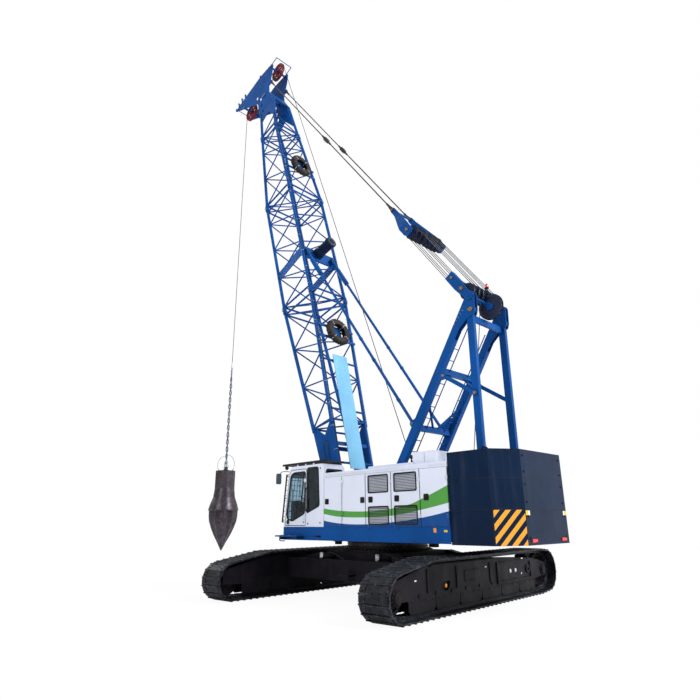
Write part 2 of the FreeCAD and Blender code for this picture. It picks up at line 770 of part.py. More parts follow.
# Each leaf stands in its opening and turns on two knuckles outside its hinge edge.
def buildDoors():
    for side, sign in sides:
        for i in range(5):
            front, back = seams[i], seams[i + 1]
            label = f"house_door_{side}_{i + 1}"
            if side == "right" and i == 0:
                continue
            fixed = side == "right" and i == 1
            if fixed:
                front = "cabRear"
                label = "house_panel_right"
            y = "halfWide - doorThick" if sign > 0 else "-halfWide"
            low = "deckHigh + panelGap"
            leaf = box(f"Leaf{side}{i}", (f"{back} + panelGap", y, low),
                       (f"{front} - ({back}) - 2*panelGap", "doorThick", f"doorTop - ({low})"))
            if i in (2, 3):
                windows = []
                for z in ("grilleLow", "grilleHigh"):
                    windows.append(box("GrilleHole", (f"{back} + grilleSide", f"{y} - 10", z),
                                       (f"{front} - ({back}) - 2*grilleSide", "doorThick + 20", "grilleTall")))
                leaf = cut(f"Vented{side}{i}", leaf, together("GrilleHoles", windows))
            if not fixed:
                ahead = side == "left" and i == 1
                edge = front if ahead else back
                knuckleY = f"{sign}*(halfWide + knuckleRound + seat)"
                pieces = [leaf]
                for z in ("deckHigh + 300", "doorTop - 190") if ahead else ("deckHigh + 200", "doorTop - 290"):
                    pieces.append(rod("Knuckle", (edge, knuckleY, z), "knuckleRound", "90"))
                    strap = "-panelGap - 62" if ahead else "panelGap + 2"
                    start = "halfWide - 2" if sign > 0 else "-halfWide - knuckleRound - 5"
                    pieces.append(box("Strap", (f"{edge} + {strap}", start, z), ("60", "knuckleRound + 7", "90")))
                    bridge = f"{edge}" if not ahead else f"{edge} - panelGap - 10"
                    pieces.append(box("Bridge", (bridge, f"{knuckleY} - 4", z),
                                      ("panelGap + 10", "8", "90")))
                leaf = fuse(f"Door{side}{i}", pieces)
            node(leaf, label)


# The cab is a shell of one wall thickness whose front leans back; its windows and doorway are cut.
cabProfile = [(at.cabRear, at.deckHigh), (at.frontEnd, at.deckHigh), (at.cabFaceX, at.cabFaceHigh),
              (at.cabBrowX, at.cabBrowHigh), (at.cabBrowX - 200, at.cabRoofHigh), (at.cabRear + 90, at.cabRoofHigh),
              (at.cabRear, at.cabRoofRear)]
doorProfile = [(at.cabPost, at.doorSill), (at.frontEnd - 55, at.doorSill), (at.cabFaceX - 45, at.cabFaceHigh - 15),
               (at.cabBrowX - 45, at.cabBrowHigh - 45), (at.cabBrowX - 220, at.cabBrowHigh - 30),
               (at.cabPost, at.cabBrowHigh - 30)]
doorWindow = [(at.cabPost + 65, 2250), (2370, 2040), (2610, 2090), (2650, 2200), (2490, 3330), (2420, 3410),
              (2300, 3440), (at.cabPost + 95, 3440), (at.cabPost + 65, 3400)]
quarterWindow = [(1140, 2450), (1690, 2260), (1690, 3540), (1200, 3540)]
rightWindow = [(1140, 2450), (2370, 2300), (2600, 2350), (2500, 3330), (2400, 3440), (1200, 3500)]


def inset(corners, by):
    points = [Vector(x, 0, z) for x, z in corners]
    face = Part.Face(Part.makePolygon(points + points[:1]))
    return face.makeOffset2D(-by)


def slab(face, y, thick):
    shape = face.extrude(alongY * thick)
    shape.translate(alongY * y)
    return shape


def buildCab():
    outside = at.halfWide - at.cabInner
    shell = slab(inset(cabProfile, 0), at.cabInner, outside)
    cuts = [slab(inset(cabProfile, at.cabWall), at.cabInner + at.cabWall, outside - 2 * at.cabWall),
            slab(inset(doorProfile, 0), at.halfWide - 2 * at.cabWall, 4 * at.cabWall),
            slab(inset(quarterWindow, 0), at.halfWide - 2 * at.cabWall, 4 * at.cabWall),
            slab(inset(rightWindow, 0), at.cabInner - 2 * at.cabWall, 4 * at.cabWall),
            Part.makeBox(600, outside - 200, at.windscreenTall,
                         Vector(at.frontEnd - 400, at.cabInner + 100, at.deckHigh + at.windscreenSill)),
            Part.makeBox(4 * at.cabWall, outside - 200, at.roofHigh - at.rearWindowLow + 110,
                         Vector(at.cabRear - 2 * at.cabWall, at.cabInner + 100, at.rearWindowLow))]
    posts = []
    for x in (1420, 1790, 2180):
        for y in (at.cabInner + 20, at.halfWide - 50):
            posts.append(Part.makeBox(45, 30, at.guardLow - at.cabRoofHigh + 10, Vector(x, y, at.cabRoofHigh - 10)))
    shell = shell.cut(Part.makeCompound(cuts))
    node(fixedShape("CabShell", merged([shell] + posts)), "cab_shell")

    leaf = slab(inset(doorProfile, at.panelGap), at.halfWide - at.cabWall, at.cabWall)
    hole = slab(inset(doorWindow, 0), at.halfWide - 2 * at.cabWall, 4 * at.cabWall)
    hinges = []
    for z in (at.doorHingeLow, at.doorHingeHigh):
        y = at.halfWide + at.knuckleRound + at.seat
        hinges.append(Part.makeCylinder(at.knuckleRound, at.doorHingeLong, Vector(at.cabPost, y, z)))
        hinges.append(Part.makeBox(90, at.knuckleRound + 7, at.doorHingeLong,
                                   Vector(at.cabPost + at.panelGap + 2, at.halfWide - 2, z)))
        hinges.append(Part.makeBox(at.panelGap + 12, 8, at.doorHingeLong, Vector(at.cabPost, y - 4, z)))
    node(fixedShape("CabDoor", merged([leaf.cut(hole)] + hinges)), "cab_door")
    outer = at.halfWide - at.glassInset
    node(fixedShape("DoorPane", slab(inset(doorWindow, at.seat), outer, at.glassThick)), "cab_door_glass")
    lean = (at.frontEnd - at.cabFaceX) / (at.cabFaceHigh - at.deckHigh)
    low = at.deckHigh + at.windscreenSill + at.seat
    high = at.deckHigh + at.windscreenSill + at.windscreenTall - at.seat

    def faceX(z):
        return at.frontEnd - (z - at.deckHigh) * lean - at.glassInset

    front = plateShape([(faceX(low), low), (faceX(high), high), (faceX(high) - at.glassThick, high),
                        (faceX(low) - at.glassThick, low)], at.cabInner + 100 + at.seat, outside - 200 - 2 * at.seat)
    panes = [slab(inset(quarterWindow, at.seat), outer, at.glassThick), front,
             slab(inset(rightWindow, at.seat), at.cabInner + at.glassInset, at.glassThick),
             Part.makeBox(at.glassThick, outside - 200 - 2 * at.seat, at.roofHigh - at.rearWindowLow + 110 - 2 * at.seat,
                          Vector(at.cabRear + at.glassInset, at.cabInner + 100 + at.seat,
                                 at.rearWindowLow + at.seat))]
    node(fixedShape("CabGlass", Part.makeCompound(panes)), "cab_glass")

    tall = at.guardHigh - at.guardLow
    rails = [Part.makeBox(at.guardFront - at.cabRear, at.guardRail, tall, Vector(at.cabRear, y, at.guardLow))
             for y in (at.cabInner + 10, at.halfWide - 10 - at.guardRail)]
    span = at.guardFront - at.cabRear - 80
    for i in range(int(at.guardSlats)):
        x = at.cabRear + i * span / (at.guardSlats - 1)
        bar = Part.makeBox(80, outside - 20, 14, Vector(x, at.cabInner + 10, at.guardLow + 20))
        bar.rotate(Vector(x + 40, 0, at.guardLow + 27), alongY, 18)
        rails.append(bar)
    node(fixedShape("RoofGuard", merged(rails)), "cab_roof_guard")

    floor = at.deckHigh + at.cabWall
    chair = [Part.makeBox(380, 360, 300, Vector(at.cabRear + 230, at.cabInner + 220, floor)),
             Part.makeBox(520, 500, 130, Vector(at.cabRear + 190, at.cabInner + 150, floor + 300)),
             Part.makeBox(120, 480, 640, Vector(at.cabRear + 130, at.cabInner + 160, floor + 380)),
             Part.makeBox(100, 260, 170, Vector(at.cabRear + 135, at.cabInner + 270, floor + 1000))]
    for y in (at.cabInner + 90, at.cabInner + 650):
        chair.append(Part.makeBox(420, 70, 60, Vector(at.cabRear + 240, y, floor + 520)))
        chair.append(Part.makeBox(60, 70, 250, Vector(at.cabRear + 300, y, floor + 300)))
    for y in (at.cabInner + 90, at.cabInner + 590):
        chair.append(Part.makeBox(60, 130, 60, Vector(at.cabRear + 300, y, floor + 320)))
    node(fixedShape("Chair", merged(chair)), "operator_chair")


def buildCounterweight():
    def slabOf(name, low, high):
        corners = []
        for sign in (1, -1):
            half = [("houseRear", f"{sign}*weightNotchHalf"), ("houseRear", f"{sign}*weightHalf"),
                    ("weightBevelX", f"{sign}*weightHalf"), ("weightRear", f"{sign}*weightRearHalf")]
            corners += half if sign > 0 else half[::-1]
        corners += [("weightNotchX", "-weightNotchHalf"), ("weightNotchX", "weightNotchHalf")]
        return prism(name, "XY_Plane", corners, low, f"{high} - {low}")
    node(slabOf("WeightLower", "weightLow", "weightSeamLow"), "counterweight_lower")
    node(slabOf("WeightMiddle", "weightSeamLow", "weightSeamHigh"), "counterweight_middle")
    top = [slabOf("WeightUpper", "weightSeamHigh", "weightTop")]
    for sign in (1, -1):
        x, y = "weightBevelX + 330", f"{sign}*(weightHalf - 420)"
        eye = rod("LiftEyeRound", (x, f"{y} - 20", "weightTop"), "110", "40", (0, 1, 0))
        bore = rod("LiftEyeBore", (x, f"{y} - 40", "weightTop + 30"), "50", "80", (0, 1, 0))
        top.append(cut("LiftEye", eye, bore))
    node(fuse("WeightTop", top), "counterweight_upper")


def buildEngine():
    node(box("Engine", ("seamFour + 100", "bayHalf + 60", "deckHigh"), ("1500", "520", "1000")), "engine_block")


def buildWinches():
    stands = []
    for name, x, z, label in (("HoistDrum", "winchX", "winchZ", "hoist_winch_drum"),
                              ("LuffDrum", "luffX", "luffZ", "luffing_winch_drum")):
        pieces = [rod(name + "Core", (x, "-winchHalf", z), "winchCore", "2*winchHalf", (0, 1, 0)),
                  rod(name + "Shaft", (x, "-winchHalf - standThick - 60", z), "winchShaft",
                      "2*(winchHalf + standThick + 60)", (0, 1, 0))]
        for y in ("-winchHalf", "winchHalf - 30"):
            pieces.append(rod(name + "Flange", (x, y, z), "winchRound", "30", (0, 1, 0)))
        node(fuse(name, pieces), label)
        for tag, y in (("Right", "-winchHalf - standThick - 15"), ("Left", "winchHalf + 15")):
            corners = [(f"{x} - standWide/2 - 60", "deckLow + floorThick"),
                       (f"{x} + standWide/2 + 60", "deckLow + floorThick"),
                       (f"{x} + 120", f"{z} + 120"), (f"{x} - 120", f"{z} + 120")]
            plate = prism(f"{name}Stand{tag}", "XZ_Plane", corners, y, "standThick")
            stands.append(cut(f"{name}Bearing{tag}", plate,
                              rod("Bore", (x, f"{y} - 10", z), "winchShaft + seat", "standThick + 20", (0, 1, 0))))
    node(together("WinchStands", stands), "winch_stands")


# ---- gantry ----

apex = Vector(at.apexX, 0, at.apexZ)
frontFoot = Vector(at.frontFootX, 0, at.frontFootZ)
legRun = (apex - frontFoot) * (1 / (apex - frontFoot).Length)
legUp = Vector(legRun.z, 0, -legRun.x)
stopLow = Vector(at.stopLowX, 0, at.stopLowZ)
stopHigh = Vector(at.stopHighX, 0, at.stopHighZ)
legMid = at.apexHalf - at.legWide / 2


def shifted(shape, y):
    moved = shape.copy()
    moved.translate(Vector(0, y, 0))
    return moved


def pinAt(spot, y, long, radius):
    return disc(spot.x, spot.z, y, long, radius)


# A point on a front leg: reach up from its foot pin, out to its front side, and across.
def legPoint(reach, out=0, y=0):
    return frontFoot + legRun * reach + legUp * out + Vector(0, y, 0)


def reachAt(z):
    return (z - at.frontFootZ) / legRun.z


def xz(points):
    return [(spot.x, spot.z) for spot in points]


def buildFrontLegs():
    inner = legMid - at.legWide / 2
    topReach = reachAt(6650)
    plateReach = reachAt(6350)
    pieces = []
    half = at.legDeep / 2
    for s in (1, -1):
        pieces.append(shifted(beam(legPoint(0), legPoint(topReach), at.legWide, at.legDeep), s * legMid))
        pieces.append(pinAt(frontFoot, s * legMid, at.legWide, at.footLift))
        outline = xz([legPoint(plateReach, half), apex + legUp * half])
        outline += [(at.apexX - at.apexRound, at.apexZ), (at.backPinX - 120, at.backPinZ), (at.backPinX - 80, 7130),
                    (at.backLegX + 90, 7050), (at.backLegX + 160, 7000)]
        outline += xz([legPoint(reachAt(6880), -half), legPoint(plateReach, -half)])
        for y in (s * legMid - at.legWide / 2, s * legMid + at.legWide / 2 - at.headPlate):
            pieces.append(plateShape(outline, y, at.headPlate))
            pieces.append(disc(at.apexX, at.apexZ, y + at.headPlate / 2, at.headPlate, at.apexRound))
            pieces.append(disc(at.backPinX, at.backPinZ, y + at.headPlate / 2, at.headPlate, 120))
        # a filler closes the leg's front side up to the apex
        web = xz([legPoint(topReach - 10, half), legPoint(topReach - 10, half - 20), apex + legUp * (half - 20),
                  apex + legUp * half])
        pieces.append(plateShape(web, s * legMid - at.legWide / 2, at.legWide))
        # apex shaft: a journal outside for the luffing frame's arm, inside as far as the guide sheave's plate
        out = s * (at.apexHalf + at.armThick / 2 + at.lugPlay)
        pieces.append(pinAt(apex, out, at.armThick + 2 * at.lugPlay + 4, at.apexShaft))
        side = s * (at.guideThick / 2 + 12)
        reach = at.apexHalf - abs(side)
        pieces.append(pinAt(apex, side + s * reach / 2, reach, at.apexShaft))
        bracket = [(at.apexX - 95, at.apexZ + 40), (at.apexX + 95, at.apexZ + 40), (at.guideX + 90, at.guideZ - 60),
                   (at.guideX - 90, at.guideZ - 60)]
        pieces.append(plateShape(bracket, side - 8, 16))
        pieces.append(disc(at.guideX, at.guideZ, side, 16, 90))
        # a journal on the back pin holds the back leg between the head plates
        pieces.append(disc(at.backPinX, at.backPinZ, s * legMid, at.legWide, at.legPin))
        # brackets that carry the low end of a backstop
        for low in (at.stopTube + at.lugPlay, -at.stopTube - at.lugPlay - at.clevisThick):
            y = s * at.stopHalf + (low if s > 0 else -low - at.clevisThick)
            ear = xz([legPoint(reachAt(4300), 0), legPoint(reachAt(4850), 0), stopLow + Vector(40, 0, 55),
                      stopLow + Vector(40, 0, -75)])
            pieces.append(plateShape(ear, y, at.clevisThick))
            pieces.append(pinAt(stopLow, y + at.clevisThick / 2, at.clevisThick, at.stopEye))
        pieces.append(pinAt(stopLow, s * at.stopHalf, 2 * (at.stopTube + at.lugPlay + at.clevisThick), at.stopPin))
        # a ladder: one rail beside the leg and its rungs across to it
        rail = s * (inner - at.ladderOffset)
        start, end = reachAt(at.ladderLow), reachAt(at.ladderHigh)
        pieces.append(tube(legPoint(start, -40, rail), legPoint(end, -40, rail), at.ladderRail))
        count = int((end - start) / at.ladderPitch)
        for i in range(1, count):
            reach = start + i * at.ladderPitch
            pieces.append(tube(legPoint(reach, -40, rail), legPoint(reach, -40, s * (inner + 10)), at.ladderRail - 3))
        # diagonal brace down to the middle of the low cross
        braceTop = legPoint(reachAt(at.lowCrossZ + 670), 0, s * (inner + 20))
        pieces.append(tube(braceTop, legPoint(reachAt(at.lowCrossZ + 10), 0, s * 60), at.braceRound))
    low, middle = legPoint(reachAt(at.lowCrossZ)), legPoint(reachAt(at.midCrossZ))
    pieces.append(beam(low - Vector(50, 0, 0), low + Vector(50, 0, 0), 2 * inner + 20, at.crossTall))
    pieces.append(beam(middle - Vector(60, 0, 0), middle + Vector(60, 0, 0), 2 * inner + 20, at.crossTall))
    for s in (1, -1):
        gusset = Part.Face(Part.makePolygon([Vector(middle.x - 8, s * (inner + 10), z) for z in (at.midCrossZ - 260, at.midCrossZ)]
                                            + [Vector(middle.x - 8, s * 120, at.midCrossZ - 20),
                                               Vector(middle.x - 8, s * (inner + 10), at.midCrossZ - 260)]))
        pieces.append(gusset.extrude(Vector(16, 0, 0)))
    pieces.append(Part.makeBox(70, 2 * inner + 20, at.topCrossTall, Vector(at.backLegX - 20, -inner - 10, 7000)))
    bores = [disc(at.frontFootX, at.frontFootZ, s * legMid, 2 * at.legWide, at.legPin + at.seat) for s in (1, -1)]
    node(fixedShape("FrontLegs", merged(pieces).cut(Part.makeCompound(bores))), "gantry_front_legs")


def buildBackLegs():
    inside = at.legWide - 2 * at.headPlate - 2 * at.seat
    top = Vector(at.backLegX, 0, at.backPinZ - 60)
    bottom = Vector(at.backLegX, 0, at.frontFootZ)
    legs = []
    for s in (1, -1):
        y = s * legMid
        bore = disc(at.backPinX, at.backPinZ, y, 400, at.legPin + at.seat)
        eye = disc(at.backPinX, at.backPinZ, y, inside, 100)
        leg = shifted(beam(bottom, top, inside, at.backLegDeep), y)
        foot = disc(at.backLegX, at.frontFootZ, y, inside, at.backLegDeep / 2)
        holes = [bore, disc(at.backLegX, at.frontFootZ, y, 400, at.legPin + at.seat)]
        # the stay bar runs outside both legs, from the middle cross's height down to this leg
        face = s * (at.apexHalf + at.seat + at.linkThick / 2)
        upper, lower = Vector(-2950, 0, 5670), Vector(-3880, 0, 5050)
        bar = shifted(beam(upper, lower, at.linkThick, at.linkWide), face)
        ends = [pinAt(spot, face, at.linkThick, at.linkWide * 0.62) for spot in (upper, lower)]
        pin = pinAt(lower, s * (legMid + at.legWide / 4 + at.linkThick / 2), at.legWide / 2 + at.linkThick, 32)
        legs.append(merged([leg, eye, foot, bar, pin] + ends).cut(Part.makeCompound(holes)))
    node(fixedShape("BackLegs", Part.makeCompound(legs)), "gantry_back_legs")


def sheaveShape(spot, y, radius, thick, bore):
    lip = radius - 40
    half = thick / 2
    groove = 25
    web = half * 0.45
    section = [(bore, -half), (bore + 70, -half), (bore + 70, -web), (lip - 60, -web), (lip - 60, -half),
               (radius, -half), (lip, -groove), (lip, groove), (radius, half), (lip - 60, half), (lip - 60, web),
               (bore + 70, web), (bore + 70, half), (bore, half)]
    return turned(spot.x, spot.z, y, section)


def buildGuideSheave():
    spot = Vector(at.guideX, 0, at.guideZ)
    side = at.guideThick / 2 + 4 - at.seat
    axle = pinAt(spot, 0, 2 * side, 40)
    sheave = sheaveShape(spot, 0, at.guideRound, at.guideThick - 4, 38).fuse(axle)
    node(fixedShape("GuideSheave", sheave.removeSplitter()), "guide_sheave")


leanCos, leanSin = math.cos(math.radians(at.boomAngle)), math.sin(math.radians(at.boomAngle))
middleStart = at.baseLength
topStart = middleStart + at.middleLength
headStart = topStart + at.topLength
pendantS = headStart + at.pendantRun
pendantEnd = Vector(at.footX + leanCos * pendantS + leanSin * at.pendantD, 0,
                    at.footZ + leanSin * pendantS - leanCos * at.pendantD)
lineLong = (pendantEnd - apex).Length
lineRun = (pendantEnd - apex) * (1 / lineLong)
lineUp = Vector(-lineRun.z, 0, lineRun.x)


# A point on the luffing line: reach along it from the gantry apex, rise square to it.
def onLine(reach, rise=0, y=0):
    return apex + lineRun * reach + lineUp * rise + Vector(0, y, 0)


def linePlate(corners, y, thick):
    return plateShape([(onLine(a, b).x, onLine(a, b).z) for a, b in corners], y, thick)


packRows = [side * (at.packFirst + i * at.packPitch) for side in (-1, 1) for i in range(3)]


def buildLuffingFrame():
    pieces = []
    arm = at.apexHalf + at.lugPlay
    for s in (1, -1):
        y = arm if s > 0 else -arm - at.armThick
        outline = [(-90, -100), (120, -125), (470, -165), (980, -155),
                   (980, 120), (560, 125), (250, 110), (-90, 100)]
        plate = linePlate(outline, y, at.armThick)
        boss = pinAt(apex, s * (arm + at.armThick / 2), at.armThick, 125)
        ring = pinAt(onLine(at.frameReach), s * (arm + at.armThick / 2), at.armThick + 6, 95)
        pieces += [merged([plate, boss, ring])]
        # box-section cheeks stiffen the arm's head
        for rise in (-155, 92):
            pieces.append(linePlate([(560, rise), (975, rise), (975, rise + 28), (560, rise + 28)],
                                    s * (arm - 60) - 62, 124))
    pieces.append(pinAt(onLine(at.frameReach), 0, 2 * arm + 20, at.packShaft))
    pieces.append(pinAt(onLine(820), 0, 2 * arm + 20, 45))
    shape = merged(pieces)
    holes = [pinAt(apex, s * (arm + at.armThick / 2), 3 * at.armThick, at.apexShaft + at.seat) for s in (1, -1)]
    node(fixedShape("SheaveFrame", shape.cut(Part.makeCompound(holes))), "gantry_sheave_frame")
    bore = at.packShaft + at.seat
    pack = [sheaveShape(onLine(at.frameReach), y, at.packRound, at.packThick, bore) for y in packRows]
    node(fixedShape("GantrySheaves", Part.makeCompound(pack)), "gantry_sheaves")


def rectangle(reach, y, thick, low, high):
    corners = [onLine(reach, low, y - thick / 2), onLine(reach, low, y + thick / 2),
               onLine(reach, high, y + thick / 2), onLine(reach, high, y - thick / 2)]
    return Part.Wire(Part.makePolygon(corners + corners[:1]))


# The floating bail: two plates spread from the pendants to the shaft of its sheaves.
def buildBail():
    pieces = []
    plate = at.armThick
    for s in (1, -1):
        narrow = s * at.pendantHalf
        wide = s * at.bailHalf
        pieces.append(Part.makeLoft([rectangle(at.bailReach + 280, wide, plate, -190, 170),
                                     rectangle(at.pendantReach - 250, narrow, plate, -95, 95)], True, True))
        pieces.append(linePlate([(at.bailReach - 180, -120), (at.bailReach - 60, -190), (at.bailReach + 280, -190),
                                 (at.bailReach + 280, 170), (at.bailReach - 180, 140)], wide - plate / 2, plate))
        pieces.append(linePlate([(at.pendantReach - 250, -95), (at.pendantReach, -90), (at.pendantReach, 90),
                                 (at.pendantReach - 250, 95)], narrow - plate / 2, plate))
        pieces.append(pinAt(onLine(at.pendantReach), narrow, plate, 90))
    pieces.append(pinAt(onLine(at.bailReach), 0, 2 * at.bailHalf + 60, at.packShaft))
    pieces.append(pinAt(onLine(at.bailReach + 330, 60), 0, 2 * at.bailHalf, 38))
    pieces.append(pinAt(onLine(at.pendantReach), 0, 2 * at.pendantHalf + 110, at.pendantPin))
    node(fixedShape("Bail", merged(pieces)), "bail")
    bore = at.packShaft + at.seat
    pack = [sheaveShape(onLine(at.bailReach), y, at.bailRound, at.packThick, bore) for y in packRows]
    node(fixedShape("BailSheaves", Part.makeCompound(pack)), "bail_sheaves")


# A socket that forks round a plate: cheeks either side, and a block they meet in beyond the plate's edge.
def socket(spot, way, y, bore):
    rise = Vector(-way.z, 0, way.x)

    def corner(a, b):
        point = spot + way * a + rise * b
        return (point.x, point.z)

    gap = at.armThick / 2 + at.seat
    cheeks = []
    for low in (y - gap - 20, y + gap):
        cheek = plateShape([corner(0, -65), corner(150, -50), corner(230, -40), corner(230, 40), corner(150, 50),
                            corner(0, 65)], low, 20)
        cheeks += [cheek, disc(spot.x, spot.z, low + 10, 20, 65)]
    block = plateShape([corner(135, -50), corner(230, -40), corner(230, 40), corner(135, 50)], y - gap - 20,
                       2 * gap + 40)
    neck = tube(spot + way * 220 + Vector(0, y, 0), spot + way * 430 + Vector(0, y, 0), 38)
    return cheeks + [block, neck], disc(spot.x, spot.z, y, 400, bore)


def buildPendants():
    pendants = []
    for s in (1, -1):
        y = s * at.pendantHalf
        low = onLine(at.pendantReach)
        across = Vector(0, y, 0)
        rope = tube(low + lineRun * 400 + across, pendantEnd - lineRun * 400 + across, at.ropeRound)
        middle = onLine(at.fittingReach)
        link = linePlate([(at.fittingReach - 210, -28), (at.fittingReach - 150, -70), (at.fittingReach + 150, -70),
                          (at.fittingReach + 210, -28), (at.fittingReach + 210, 28), (at.fittingReach + 150, 70),
                          (at.fittingReach - 150, 70), (at.fittingReach - 210, 28)], y - 45, 90)
        ends = [tube(middle + lineRun * a + Vector(0, y, 0), middle + lineRun * b + Vector(0, y, 0), 38)
                for a, b in ((-400, -200), (200, 400))]
        lower, lowBore = socket(low, lineRun, y, at.pendantPin + at.seat)
        upper, highBore = socket(pendantEnd, lineRun * -1, y, at.pendantPin + at.pendantSlack)
        bores = Part.makeCompound([lowBore, highBore])
        pendants.append(merged(lower + [rope] + ends + [link] + upper).cut(bores))
    node(fixedShape("Pendants", Part.makeCompound(pendants)), "pendants")


# ---- boom ----

boomRun = Vector(math.cos(math.radians(at.boomAngle)), 0, math.sin(math.radians(at.boomAngle)))
boomOut = Vector(boomRun.z, 0, -boomRun.x)
foot = Vector(at.footX, 0, at.footZ)
corners4 = [(1, 1), (1, -1), (-1, -1), (-1, 1)]


# A point on the boom: along its axis from the foot pin, out to its front side, and across.
def boomPoint(run, out=0, y=0):
    return foot + boomRun * run + boomOut * out + Vector(0, y, 0)


def boomPlate(corners, y, thick):
    return plateShape([(boomPoint(a, b).x, boomPoint(a, b).z) for a, b in corners], y, thick)


# A block with sides along the boom's own directions.
def boomBlock(run, out, y, runLong, outLong, wide):
    return boomPlate([(run, out), (run + runLong, out), (run + runLong, out + outLong), (run, out + outLong)],
                     y, wide)


def cutBetween(shape, start, end):
    reach = 4000
    return shape.common(boomBlock(start, -reach / 2, -reach / 2, end - start, reach, reach))


def chordTubes(start, end, size):
    tubes = []
    (deepA, wideA), (deepB, wideB) = size(start - 60), size(end + 60)
    for d, w in corners4:
        tubes.append(tube(boomPoint(start - 60, d * deepA, w * wideA), boomPoint(end + 60, d * deepB, w * wideB),
                          at.chordRound))
    return tubes


# The bay that holds the bare station has no diagonal on the rear face, because a plate closes it.
def laceTubes(stations, size, bare=0):
    laces = []
    for i, (low, high) in enumerate(zip(stations, stations[1:])):
        for k in range(4):
            (d1, w1), (d2, w2) = corners4[k], corners4[(k + 1) % 4]
            if low < bare < high and d1 == d2 == -1:
                continue
            if (i + k) % 2:
                (d1, w1), (d2, w2) = (d2, w2), (d1, w1)
            deepL, wideL = size(low)
            deepH, wideH = size(high)
            laces.append(tube(boomPoint(low, d1 * deepL, w1 * wideL), boomPoint(high, d2 * deepH, w2 * wideH),
                              at.laceRound))
    return laces


def crossTubes(station, size):
    deep, wide = size(station)
    tubes = []
    for k in range(4):
        (d1, w1), (d2, w2) = corners4[k], corners4[(k + 1) % 4]
        tubes.append(tube(boomPoint(station, d1 * deep, w1 * wide), boomPoint(station, d2 * deep, w2 * wide),
                          at.frameRound))
    tubes.append(tube(boomPoint(station, deep, wide), boomPoint(station, -deep, -wide), at.laceRound))
    return tubes


# Thickened chord ends, where two sections are pinned together.
def collars(start, end, size):
    rings = []
    for a, b in ((start - 60, start + at.collarLong), (end - at.collarLong, end + 60)):
        deepA, wideA = size(a)
        deepB, wideB = size(b)
        for d, w in corners4:
            rings.append(cutBetween(tube(boomPoint(a, d * deepA, w * wideA), boomPoint(b, d * deepB, w * wideB),
                                    at.collarRound), start, end))
    return rings


def spaced(start, end, pitch):
    count = max(1, round((end - start) / pitch))
    return [start + (end - start) * i / count for i in range(count + 1)]


def footSize(run):
    share = run / at.baseLength
    return (at.footHalfDeep + (at.boomHalfDeep - at.footHalfDeep) * share,
            at.footHalfWide + (at.boomHalfWide - at.footHalfWide) * share)


def plainSize(run):
    return at.boomHalfDeep, at.boomHalfWide


def taperSize(run):
    share = (run - topStart) / at.topLength
    return (at.boomHalfDeep + (at.headHalfDeep - at.boomHalfDeep) * share,
            at.boomHalfWide + (at.headHalfWide - at.boomHalfWide) * share)


# Straps across the rear chords carry a tyre that lies flat on the rear face.
def tyreStraps(run, size):
    deep, wide = size(run)
    pieces = []
    for shift in (-0.55 * at.tyreRound, 0.55 * at.tyreRound - at.strapWide):
        pieces.append(boomBlock(run + shift, -deep - at.chordRound - at.strapThick, -wide - at.chordRound,
                                at.strapWide, at.strapThick + 25, 2 * (wide + at.chordRound)))
    pieces.append(boomBlock(run - at.tyreRim + 20, -deep - at.chordRound - at.strapThick, -at.tyreRim + 20,
                            2 * at.tyreRim - 40, at.strapThick, 2 * at.tyreRim - 40))
    return pieces


def guardPlate():
    startDeep, endDeep = footSize(at.guardStart)[0], footSize(at.guardEnd)[0]
    inner, outer = at.chordRound + 2, at.chordRound + 2 + at.guardThick
    return boomPlate([(at.guardStart, -startDeep - inner), (at.guardEnd, -endDeep - inner),
                      (at.guardEnd, -endDeep - outer), (at.guardStart, -startDeep - outer)],
                     -at.guardHalf, 2 * at.guardHalf)


